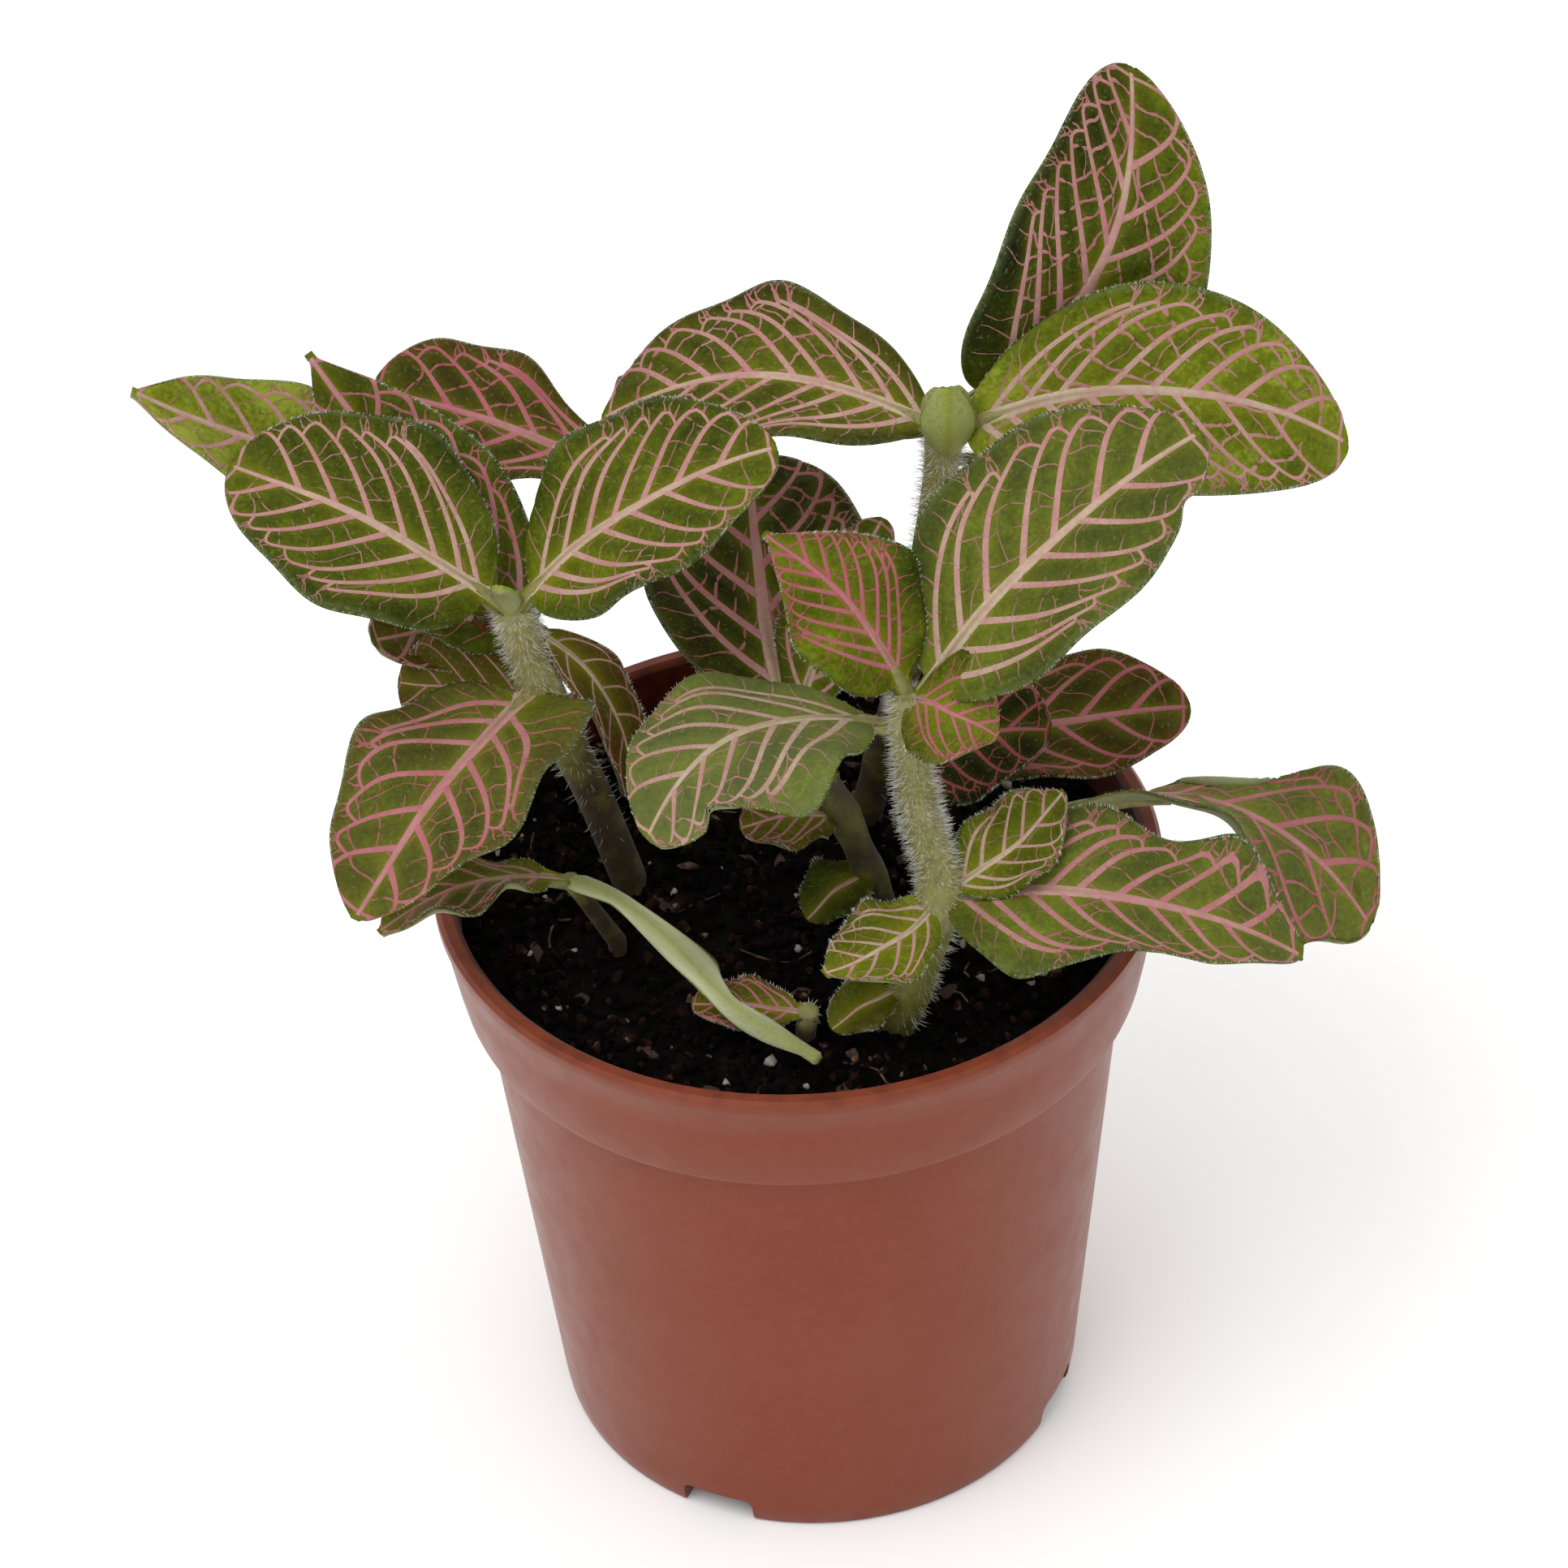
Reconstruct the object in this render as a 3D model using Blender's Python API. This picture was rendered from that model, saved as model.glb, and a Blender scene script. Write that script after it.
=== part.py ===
"""Potted nerve plant: a tapered plastic nursery pot, its soil, and ten leafy shoots.

Metres, +Z up.  The origin is the centre of the pot's flat base.  Every shoot is one
body: a round stem with its leaves grown onto it.  Run it on its own with
blender --background --python part.py, or from Blender's text editor.
"""
import math

import bmesh
import bpy
from mathutils import Matrix, Vector, noise

MM = 0.001
FIT_GAP = 0.3                 # clearance between pieces that touch, mm

# ---------------------------------------------------------------- pot, mm
POT_HEIGHT = 56.0
BASE_RADIUS = 22.4
BODY_TOP_RADIUS = 26.8        # just below the band
BAND_FOOT_RADIUS = 28.4       # the band stands a step proud of the body
RIM_RADIUS = 30.0
BAND_HEIGHT = 10.3
WALL = 1.1
LIP_WIDTH = 1.7
LIP_HEIGHT = 1.2
FLOOR = 1.4
FOOT_CHAMFER = 0.8
STEP = 0.5                    # height of the step under the band, and size of small bevels
LIP_BEVEL = 0.35
FILLET = 1.0                  # inside corner at the floor
POT_SIDES = 60
NOTCHES = 4
NOTCH_WIDTH = 6.4
NOTCH_HEIGHT = 2.6
NOTCH_DEPTH = 3.4
NOTCH_CORNER = 0.9
NOTCH_START = -115.0          # degrees

# ---------------------------------------------------------------- soil, mm
SOIL_TOP = 53.0
SOIL_RELIEF = 0.7
SOIL_LUMP = 5.0               # distance over which the surface rises and falls
SOIL_RINGS = 6
SOIL_SIDES = 40
SOIL_FOOT = 4.0               # height over which the root ball narrows at the bottom
ROOT_DEPTH = 9.0              # how far each stem stands in the soil
ROOT_TOP = 2.0                # depth at which the straight root end meets the leaning stem

# ---------------------------------------------------------------- leaves and stems, mm
BLADE = 0.7                   # blade thickness
STALK_HALF = 0.75             # half the width of a leaf's stalk
TIP_HALF = 0.35
ROOT_SINK = 0.6               # how far a leaf's stalk runs past the stem's axis
CUP = 1.4                     # how the fold grows from the midrib to the margin
ROW_EVEN = 0.4                # share of the rows' spacing that is even
LARGE_GRID = (11, 6)          # rows and columns of faces on a large leaf
SMALL_GRID = (8, 4)
STEM_SIDES = 8
STEM_STEPS = 3                # rings between two points of a stem
LARGE_LEAF = 17.0             # leaves at least this long get the finer grid
WAVES = 2.5                   # ripples along each margin

HOLE_RINGS = 5                # rings of a stem that its hole in the soil follows

SHADED = {"shoot_back_left", "shoot_rear", "shoot_centre", "shoot_back_right", "shoot_seedling"}
GREENS = {
    "leaf_green": (0.105, 0.150, 0.030),
    "leaf_dark": (0.060, 0.075, 0.022),
}


def leaf(base, tip, width, facing=(0, -0.4, 1), arch=2.0, sweep=0.0, fold=10.0,
         twist=0.0, wave=0.8, stalk=0.10, point=0.5, belly=0.95):
    """One leaf: its foot on the stem, its tip, and how the blade bends between them.

    width is the blade's full width and facing is where its upper side looks.  arch lifts
    the midrib over the straight line from foot to tip and sweep bows it to the left.
    fold raises both halves, twist turns the blade towards the tip (degrees), wave is
    the ripple of the margin and stalk is the stalk's share of the length.  point is 0.5
    for a blunt tip and 1 for a sharp one.  A larger belly sets the widest place nearer
    the tip.
    """
    return dict(base=Vector(base), tip=Vector(tip), width=width, facing=Vector(facing),
                arch=arch, sweep=sweep, fold=math.radians(fold), twist=math.radians(twist),
                wave=wave, stalk=stalk, point=point, belly=belly)


# Each shoot: the stem's points with its radius at each, from the soil up, and its leaves.
SHOOTS = {
    "shoot_left": dict(
        stem=[((-14, 2, 53), 1.5), ((-16.5, 1.5, 63), 1.5),
              ((-19.5, 0.5, 73), 1.6), ((-21.5, 0, 83), 1.4)],
        leaves=[
            leaf((-21.5, 0, 82.5), (-43, 6, 94), 18, facing=(0, -0.4, 1), arch=2.5),
            leaf((-21.5, 0, 82.5), (0, -1, 98.1), 16.5, facing=(0, -0.4, 1), arch=2.5, sweep=0.8),
            leaf((-19.8, 0.4, 75), (-34.8, -19, 67.8), 16.5,
                 facing=(0, -0.1, 1), arch=3, sweep=0.6, wave=1.2, point=0.65, belly=0.85),
            leaf((-19.8, 0.4, 76), (-36.8, 15, 98), 14,
                 facing=(0.3, -0.9, 0.5), arch=1, point=1.1, belly=0.8),
            leaf((-18, 1, 68), (-31, 1, 68.5), 9, facing=(0, -0.4, 1), arch=1),
            leaf((-21.5, 0, 82.5), (-22.3, -1.5, 86.5), 2.6, facing=(0.3, 0.8, 0.3), arch=0.3, wave=0),
            leaf((-19.8, 0.5, 76), (-14.3, 7, 68), 6.5, facing=(0.6, -0.3, 0.7), wave=0.4),
        ]),
    "shoot_back_left": dict(
        stem=[((-17, 12, 53), 1.2), ((-21, 14, 68), 1.2), ((-26, 17, 81), 1.1)],
        leaves=[
            leaf((-26, 17, 80.5), (-51, 14, 96), 11.5, facing=(0, -0.4, 1), fold=12, arch=-1, point=1),
            leaf((-26, 17, 80.5), (-27, 38, 77), 15, facing=(0, 0.1, 1), arch=3),
            leaf((-21.5, 14.2, 68.5), (-33, 2, 79), 12, facing=(0, -0.6, 1)),
            leaf((-22, 14.5, 70), (-23, 33, 66), 13, facing=(0, 0.1, 1)),
        ]),
    "shoot_rear": dict(
        stem=[((-4, 17, 53), 1.3), ((-8, 18, 68), 1.3), ((-12.5, 19, 83), 1.1)],
        leaves=[
            leaf((-12.5, 19, 82.5), (-32.5, 21, 90.3), 13, facing=(0, -0.2, 1), arch=1.2, belly=1.3),
            leaf((-12.5, 19, 82.5), (-3, 33, 76), 13, facing=(0, 0, 1), arch=3),
            leaf((-8, 18, 68), (-4, 37, 67), 15, facing=(0, 0.1, 1), arch=3),
        ]),
    "shoot_front": dict(
        stem=[((7.5, -17, 53), 1.6), ((11, -15.5, 64), 1.6),
              ((9.6, -12.5, 72), 1.5), ((9.2, -10, 80.5), 1.3)],
        leaves=[
            leaf((9, -10.5, 77.5), (-11.5, -22, 77), 18,
                 facing=(-0.1, 0.05, 1), arch=2, sweep=-5, fold=5, belly=1.1),
            leaf((9.2, -10.5, 78.5), (32.5, -3, 99), 19,
                 facing=(-0.3, -0.45, 0.8), arch=2.5, fold=12, sweep=1),
            leaf((9.2, -10, 80), (-1, -6, 94), 14,
                 facing=(0.3, -0.6, 0.6), arch=1.5, sweep=-2, point=0.8),
            leaf((9.2, -10, 80), (17, -14.5, 81), 9.5, facing=(0, -0.6, 0.8), arch=1.5, point=0.8),
            leaf((11, -15.5, 64), (1.5, -22, 62.5), 8,
                 facing=(0, -0.3, 1), arch=0.8, sweep=1.5, point=0.9),
            leaf((11, -15.5, 64.5), (20.5, -11, 70), 8.5,
                 facing=(-0.2, -0.5, 1), arch=0.8, sweep=-1.2, point=0.8),
            leaf((11, -15.5, 64), (39.5, -19, 59), 14,
                 facing=(0, -0.3, 1), arch=4.5, wave=1.3, stalk=0.03, point=0.7, belly=0.65),
            leaf((7.5, -17, 56), (2, -20.5, 55.2), 5, facing=(0, -0.3, 1), arch=0.5, wave=0.3),
        ]),
    "shoot_low_left": dict(
        stem=[((-15, -6, 53), 1.2), ((-18.5, -8, 62), 1.1)],
        leaves=[
            leaf((-18.5, -8, 61.5), (-33.5, -14.5, 62.5), 8.5, facing=(0, 0.2, 1), wave=1.2, point=0.8),
            leaf((-18.5, -8, 61.5), (1, -24, 55), 3.8,
                 facing=(0.1, 0.5, -0.85), arch=-2, fold=12, wave=0.4),
        ]),
    "shoot_centre": dict(
        stem=[((7, -4, 53), 1.2), ((3.8, -3, 63), 1.2), ((0, 0, 69.5), 1.1)],
        leaves=[
            leaf((0, 0, 69), (-2, 21.5, 81), 19, facing=(0, -0.25, 1), arch=2.5, sweep=1),
            leaf((4, -3, 62.5), (-4.5, -5, 63.5), 7, facing=(0, -0.3, 1), arch=1),
            leaf((6, -3.5, 57), (0.5, -8, 56), 6, facing=(0, -0.3, 1), arch=1),
            leaf((0, 0, 69), (8.3, 9.5, 83), 8.5, facing=(-0.3, -0.4, 1), arch=1),
        ]),
    "shoot_tall": dict(
        stem=[((6, 9, 53), 1.4), ((9, 8, 66), 1.4), ((12, 8, 82), 1.4), ((13.5, 9, 93), 1.3)],
        leaves=[
            leaf((13.2, 9, 92), (-14, 17, 88.8), 17,
                 facing=(0, -0.25, 1), arch=4, sweep=-1.7, belly=1.3),
            leaf((13.2, 9, 92), (45.5, 9, 88.2), 18.5, facing=(0, -0.3, 0.9), arch=4.5, sweep=-1.8),
            leaf((13.4, 9, 92.5), (28.8, 18, 119), 18, facing=(-0.2, -0.7, 0.5), arch=2, sweep=-7),
            leaf((8.6, 8, 60), (33, 8, 63), 13, facing=(0, -0.4, 0.9), arch=1, point=0.8),
            leaf((8.2, 8, 59.5), (20.5, 0.5, 67), 12, facing=(0, -0.5, 0.85)),
            leaf((13.5, 9, 92), (12.6, 7.6, 97), 3, facing=(0.5, 0.7, 0.3), arch=0.3, wave=0),
            leaf((13.5, 9, 92), (15.4, 10.2, 96.5), 3, facing=(-0.5, -0.7, 0.3), arch=0.3, wave=0),
        ]),
    "shoot_right": dict(
        stem=[((18, -3, 53), 1.2), ((21.5, -2.5, 62), 1.1)],
        leaves=[
            leaf((21.5, -2.5, 61.5), (46.2, -9, 52), 15.5,
                 facing=(0.2, 0.9, 0.6), arch=6, twist=115, belly=1.7),
        ]),
    "shoot_back_right": dict(
        stem=[((12, 20, 53), 1.3), ((16, 22, 64), 1.3), ((20, 24, 73), 1.1)],
        leaves=[
            leaf((20, 24, 72.5), (33, 27, 76), 13, facing=(0, 0, 1)),
            leaf((20, 24, 72.5), (22, 37, 66), 12, facing=(0, 0.2, 1)),
            leaf((16, 22, 63), (29, 25, 65), 10, facing=(0, 0, 1)),
        ]),
    "shoot_seedling": dict(
        stem=[((0, -18, 53), 0.8), ((0.3, -18.3, 55.5), 0.7)],
        leaves=[
            leaf((0.3, -18.3, 55), (-9, -17.5, 56), 5, facing=(0, -0.3, 1), arch=0.5, wave=0.4),
        ]),
}


# ---------------------------------------------------------------- general helpers
def clear_objects():
    for existing in list(bpy.data.objects):
        bpy.data.objects.remove(existing, do_unlink=True)


def material(name, colour, roughness, metallic=0.0):
    made = bpy.data.materials.new(name)
    made.use_nodes = True
    shader = made.node_tree.nodes["Principled BSDF"]
    shader.inputs["Base Color"].default_value = (*colour, 1.0)
    shader.inputs["Roughness"].default_value = roughness
    shader.inputs["Metallic"].default_value = metallic
    return made


def add_object(name, bm, surface):
    """Turn a bmesh measured in millimetres into a named object in metres."""
    bmesh.ops.recalc_face_normals(bm, faces=bm.faces)
    bmesh.ops.scale(bm, vec=(MM, MM, MM), verts=bm.verts)
    mesh = bpy.data.meshes.new(name)
    bm.to_mesh(mesh)
    bm.free()
    mesh.shade_smooth()
    mesh.set_sharp_from_angle(angle=math.radians(40))
    mesh.materials.append(surface)
    made = bpy.data.objects.new(name, mesh)
    bpy.context.scene.collection.objects.link(made)
    return made


def combine(target, others, operation):
    """Boolean every object in others with target, keep the result and drop the others."""
    group = bpy.data.collections.new(target.name + "_pieces")
    bpy.context.scene.collection.children.link(group)
    for other in others:
        bpy.context.scene.collection.objects.unlink(other)
        group.objects.link(other)
    cut = target.modifiers.new("Combine", "BOOLEAN")
    cut.operation = operation
    cut.operand_type = "COLLECTION"
    cut.collection = group
    cut.solver = "EXACT"
    bpy.context.view_layer.update()
    evaluated = target.evaluated_get(bpy.context.evaluated_depsgraph_get())
    result = bpy.data.meshes.new_from_object(evaluated)
    target.modifiers.clear()
    target.data = result
    for other in list(group.objects):
        bpy.data.objects.remove(other, do_unlink=True)
    bpy.data.collections.remove(group)


def lathe(profile, sides):
    """Spin an (radius, height) outline about the Z axis into a closed body."""
    bm = bmesh.new()
    corners = [bm.verts.new((radius, 0, height)) for radius, height in profile]
    edges = [bm.edges.new(pair) for pair in zip(corners, corners[1:])]
    if profile[0][0] > 0:
        edges.append(bm.edges.new((corners[-1], corners[0])))
    bmesh.ops.spin(bm, geom=corners + edges, axis=(0, 0, 1), cent=(0, 0, 0),
                   angle=math.tau, steps=sides, use_merge=True)
    bmesh.ops.remove_doubles(bm, verts=bm.verts, dist=0.001)
    return bm


# ---------------------------------------------------------------- pot
def inner_radius(height):
    """The pot's inside radius at a height."""
    band_foot = POT_HEIGHT - BAND_HEIGHT
    if height < band_foot:
        rise = height / band_foot
        return BASE_RADIUS + (BODY_TOP_RADIUS - BASE_RADIUS) * rise - WALL
    rise = (height - band_foot) / BAND_HEIGHT
    return BAND_FOOT_RADIUS + (RIM_RADIUS - BAND_FOOT_RADIUS) * rise - WALL - LIP_BEVEL


def pot_profile():
    """The pot's wall as an outline: up the outside, over the lip and down the inside."""
    band_foot = POT_HEIGHT - BAND_HEIGHT
    lip_foot = POT_HEIGHT - LIP_HEIGHT
    inner_foot = band_foot + FILLET + STEP
    outside = [
        (0, 0),
        (BASE_RADIUS - FOOT_CHAMFER, 0),
        (BASE_RADIUS - FOOT_CHAMFER / 4, FOOT_CHAMFER / 4),
        (BASE_RADIUS, FOOT_CHAMFER),
        (BODY_TOP_RADIUS, band_foot - STEP),
        (BAND_FOOT_RADIUS - STEP / 3, band_foot),
        (BAND_FOOT_RADIUS, band_foot + STEP),
        (RIM_RADIUS - LIP_BEVEL, lip_foot - STEP),
        (RIM_RADIUS, lip_foot),
    ]
    lip = [
        (RIM_RADIUS, POT_HEIGHT - LIP_BEVEL),
        (RIM_RADIUS - LIP_BEVEL, POT_HEIGHT),
        (RIM_RADIUS - LIP_WIDTH + STEP, POT_HEIGHT),
        (RIM_RADIUS - LIP_WIDTH, POT_HEIGHT - STEP),
    ]
    inside = [
        (inner_radius(inner_foot), inner_foot),
        (inner_radius(band_foot - STEP), band_foot - STEP),
        (inner_radius(FLOOR) - FILLET / 3, FLOOR + FILLET / 3),
        (inner_radius(FLOOR) - FILLET, FLOOR),
        (0, FLOOR),
    ]
    return outside + lip + inside


def drain_notch(index, surface):
    """A cutter for one drain notch through the foot of the wall and the floor's edge."""
    bm = bmesh.new()
    bmesh.ops.create_cube(bm, size=1.0)
    size = (NOTCH_DEPTH * 2, NOTCH_WIDTH, NOTCH_HEIGHT * 2)
    bmesh.ops.scale(bm, vec=size, verts=bm.verts)
    upright = [edge for edge in bm.edges
               if abs(edge.verts[0].co.x - edge.verts[1].co.x) > NOTCH_DEPTH
               and edge.verts[0].co.z > 0]
    bmesh.ops.bevel(bm, geom=upright, offset=NOTCH_CORNER, segments=2, profile=0.5,
                    affect="EDGES", material=-1)
    bmesh.ops.translate(bm, vec=(BASE_RADIUS, 0, 0), verts=bm.verts)
    turn = Matrix.Rotation(math.radians(NOTCH_START) + math.tau * index / NOTCHES, 3, "Z")
    bmesh.ops.rotate(bm, cent=(0, 0, 0), matrix=turn, verts=bm.verts)
    return add_object(f"notch_{index}", bm, surface)


def build_pot():
    plastic = material("moulded_terracotta_plastic", (0.246, 0.082, 0.049), 0.5)
    pot = add_object("pot", lathe(pot_profile(), POT_SIDES), plastic)
    combine(pot, [drain_notch(index, plastic) for index in range(NOTCHES)], "DIFFERENCE")
    return pot


# ---------------------------------------------------------------- stems
def smooth_path(points):
    """Points along a smooth curve through a stem's points, each with its radius."""
    path = []
    last = len(points) - 1
    for index in range(last):
        before, radius_a = Vector(points[max(index - 1, 0)][0]), points[index][1]
        start, end = Vector(points[index][0]), Vector(points[index + 1][0])
        after, radius_b = Vector(points[min(index + 2, last)][0]), points[index + 1][1]
        for step in range(STEM_STEPS):
            t = step / STEM_STEPS
            bend = (2 * start + (end - before) * t
                    + (2 * before - 5 * start + 4 * end - after) * t * t
                    + (3 * start - before - 3 * end + after) * t ** 3) / 2
            path.append((bend, radius_a + (radius_b - radius_a) * t))
    path.append((Vector(points[last][0]), points[last][1]))
    return path


def rooted_path(shoot):
    """The stem's path with its straight root end, which stands in the soil."""
    path = smooth_path(shoot["stem"])
    foot, radius = path[0]
    root = [(foot - Vector((0, 0, depth)), radius) for depth in (ROOT_DEPTH, ROOT_TOP)]
    return root + path[1:]


def tube(path, extra=0.0, sides=STEM_SIDES):
    """A round closed tube along a path of points and radii."""
    bm = bmesh.new()
    rings = []
    for index, (centre, radius) in enumerate(path):
        behind = path[max(index - 1, 0)][0]
        ahead = path[min(index + 1, len(path) - 1)][0]
        turn = Vector((0, 0, 1)).rotation_difference(ahead - behind).to_matrix().to_4x4()
        ring = bmesh.ops.create_circle(bm, segments=sides, radius=radius + extra,
                                       matrix=Matrix.Translation(centre) @ turn)
        rings.append(ring["verts"])
    for lower, upper in zip(rings, rings[1:]):
        for side in range(sides):
            following = (side + 1) % sides
            bm.faces.new((lower[side], lower[following], upper[following], upper[side]))
    bm.faces.new(rings[0])
    bm.faces.new(rings[-1])
    bmesh.ops.triangulate(bm, faces=bm.faces)
    return bm


# ---------------------------------------------------------------- leaves
def half_width(shape, along):
    """Half the leaf's width at a share of its length: a narrow stalk, then an oval blade."""
    reach = (along - shape["stalk"]) / (1 - shape["stalk"])
    if reach <= 0:
        return STALK_HALF
    taper = 0.5 + (shape["point"] - 0.5) * reach
    blade = shape["width"] / 2 * max(math.sin(math.pi * min(reach, 1.0) ** shape["belly"]), 0.0) ** taper
    return max(blade, STALK_HALF * (1 - reach), TIP_HALF)


def leaf_point(shape, along, across):
    """A point of the blade's middle surface; across runs from -1 to 1."""
    chord = shape["tip"] - shape["base"]
    length = chord.length
    chord.normalize()
    normal = (shape["facing"] - chord * shape["facing"].dot(chord)).normalized()
    side = normal.cross(chord)
    bow = 4 * along * (1 - along)
    centre = shape["base"] + chord * length * along
    centre += normal * shape["arch"] * bow + side * shape["sweep"] * bow
    turn = Matrix.Rotation(shape["twist"] * along * along, 3, chord)
    side, normal = turn @ side, turn @ normal
    half = half_width(shape, along)
    ripple = math.sin(math.tau * WAVES * along + (1.9 if across > 0 else 0.0))
    lift = half * math.sin(shape["fold"]) * abs(across) ** CUP
    lift += shape["wave"] * ripple * across * across * math.sin(math.pi * along)
    return centre + side * half * across * math.cos(shape["fold"]) + normal * lift


def row_position(shape, row, rows):
    """Where a row of the grid lies along the leaf: closer together at the blade's ends."""
    if row == 0:
        return -ROOT_SINK / (shape["tip"] - shape["base"]).length
    share = (row - 1) / (rows - 1)
    spread = ROW_EVEN * share + (1 - ROW_EVEN) * (1 - math.cos(math.pi * share)) / 2
    return shape["stalk"] + (1 - shape["stalk"]) * spread


def build_leaf(name, shape, surface):
    """A thin closed blade: a grid laid on the leaf's surface and given its thickness."""
    large = (shape["tip"] - shape["base"]).length >= LARGE_LEAF
    rows, columns = LARGE_GRID if large else SMALL_GRID
    bm = bmesh.new()
    bmesh.ops.create_grid(bm, x_segments=rows, y_segments=columns, size=1.0)
    for vert in bm.verts:
        row = round((vert.co.x + 1) / 2 * rows)
        vert.co = leaf_point(shape, row_position(shape, row, rows), vert.co.y)
    bmesh.ops.triangulate(bm, faces=bm.faces, quad_method="FIXED")
    bm.normal_update()
    bmesh.ops.solidify(bm, geom=bm.faces[:], thickness=BLADE)
    return add_object(name, bm, surface)


def build_shoot(name, shoot, surface):
    stem = add_object(name, tube(rooted_path(shoot)), surface)
    leaves = [build_leaf(f"{name}_leaf_{index}", shape, surface)
              for index, shape in enumerate(shoot["leaves"])]
    combine(stem, leaves, "UNION")
    return stem


# ---------------------------------------------------------------- soil
def soil_profile():
    """The root ball's outline: up beside the wall, then in over the top."""
    floor = FLOOR + FIT_GAP
    profile = [(0, floor), (inner_radius(floor) - FILLET - FIT_GAP, floor)]
    for height in (SOIL_FOOT, POT_HEIGHT - BAND_HEIGHT - STEP, SOIL_TOP):
        profile.append((inner_radius(height) - FIT_GAP - LIP_BEVEL / 2, height))
    edge = profile[-1][0]
    rings = range(1, SOIL_RINGS + 1)
    return profile + [(edge * (1 - ring / SOIL_RINGS), SOIL_TOP) for ring in rings]


def stem_hole(name, shoot, surface):
    """A cutter a little wider than the stem, from its root end to clear of the soil."""
    path = rooted_path(shoot)
    foot, radius = path[0]
    path[0] = (foot - Vector((0, 0, FIT_GAP)), radius)
    return add_object(f"{name}_hole", tube(path[:HOLE_RINGS], FIT_GAP), surface)


def build_soil():
    """The root ball: fills the pot, with an uneven top and one hole for each stem."""
    peat = material("peat_soil", (0.013, 0.009, 0.007), 0.95)
    bm = lathe(soil_profile(), SOIL_SIDES)
    for vert in bm.verts:
        if vert.co.z > SOIL_TOP - FIT_GAP:
            vert.co.z += SOIL_RELIEF * noise.noise(vert.co / SOIL_LUMP)
    soil = add_object("soil", bm, peat)
    combine(soil, [stem_hole(name, shoot, peat) for name, shoot in SHOOTS.items()], "DIFFERENCE")
    return soil


def main():
    clear_objects()
    build_pot()
    build_soil()
    for name, shoot in SHOOTS.items():
        tone = "leaf_dark" if name in SHADED else "leaf_green"
        build_shoot(name, shoot, material(f"{name}_{tone}", GREENS[tone], 0.5))


main()
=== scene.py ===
import math
import random

import bmesh
import bpy
import numpy as np
from bpy.props import FloatProperty, FloatVectorProperty, IntProperty, PointerProperty
from mathutils import Matrix, Vector, noise
from mathutils.kdtree import KDTree


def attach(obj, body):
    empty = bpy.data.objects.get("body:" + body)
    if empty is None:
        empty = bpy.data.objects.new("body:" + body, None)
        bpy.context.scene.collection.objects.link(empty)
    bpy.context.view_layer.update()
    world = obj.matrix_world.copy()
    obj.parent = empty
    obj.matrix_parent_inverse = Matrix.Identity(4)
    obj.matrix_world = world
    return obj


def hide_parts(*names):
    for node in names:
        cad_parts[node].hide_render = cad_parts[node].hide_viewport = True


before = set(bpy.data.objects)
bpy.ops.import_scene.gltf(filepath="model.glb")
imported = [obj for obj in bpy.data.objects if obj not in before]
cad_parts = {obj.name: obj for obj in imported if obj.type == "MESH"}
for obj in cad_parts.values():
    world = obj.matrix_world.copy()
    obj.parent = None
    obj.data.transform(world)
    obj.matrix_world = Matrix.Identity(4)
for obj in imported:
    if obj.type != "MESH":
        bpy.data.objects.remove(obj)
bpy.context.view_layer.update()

bl_info = {
    "name": "Potted nerve plant",
    "version": (1, 0, 0),
    "blender": (4, 5, 0),
    "location": "3D View > Sidebar > Nerve plant",
    "description": "Dresses a pink-veined nerve plant in a small plastic nursery pot",
    "category": "Object",
}

MM = 0.001
PER_MM = 1000  # noise scale of a pattern 1 mm across
SOIL_SEED = 11
HAIR_SEED = 100
BATCH = 120
BLADE_NUMBERS = ("tone", "halo", "bronze", "edge", "under", "pale")
VEIN_NUMBERS = ("rosy", "faint", "core")
POT_NUMBERS = ("inside", "dirt")

# ---- colours -----------------------------------------------------------------------------------

def linear(value):
    """A linear RGBA colour from an sRGB hex value."""
    parts = [int(value[i:i + 2], 16) / 255 for i in (1, 3, 5)]
    return tuple(p / 12.92 if p <= 0.04045 else ((p + 0.055) / 1.055) ** 2.4 for p in parts) + (1.0,)


def tint(name, description, value):
    """A colour setting whose default is an sRGB hex value."""
    return FloatVectorProperty(name=name, description=description, subtype="COLOR", size=4, min=0.0, max=1.0,
                               default=linear(value))


# ---- pot and soil sizes (mm) --------------------------------------------------------------------

POT_HEIGHT = 56.0
BASE_RADIUS = 22.4
BODY_TOP_RADIUS = 26.8
BAND_FOOT_RADIUS = 28.4
RIM_RADIUS = 30.0
BAND_HEIGHT = 10.3
BAND_FOOT = POT_HEIGHT - BAND_HEIGHT
WALL = 1.1
BAND_EXTRA = 0.35  # how much thicker the band is than the wall below it
LIP_WIDTH = 1.7
LIP_HEIGHT = 1.2
FLOOR = 1.4
FOOT_CHAMFER = 0.8
STEP = 0.5
LIP_BEVEL = 0.35
NOTCHES = 4
NOTCH_START = -115.0
NOTCH_WIDTH = 6.4
NOTCH_HEIGHT = 2.6
NOTCH_DEPTH = 3.4
NOTCH_CORNER = 0.9
SOIL_TOP = 53.0
SOIL_FOOT = 4.0
SOIL_DIP = 0.9  # the soil lies this much lower than the solid it dresses
SOIL_RELIEF = 0.7
SOIL_LUMP = 5.0
CHIP_SIZES = ((1.0, 3.4), (0.6, 1.6), (0.3, 0.6))  # least and most length, width and thickness

# ---- leaf sizes (mm) and shares -----------------------------------------------------------------

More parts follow.
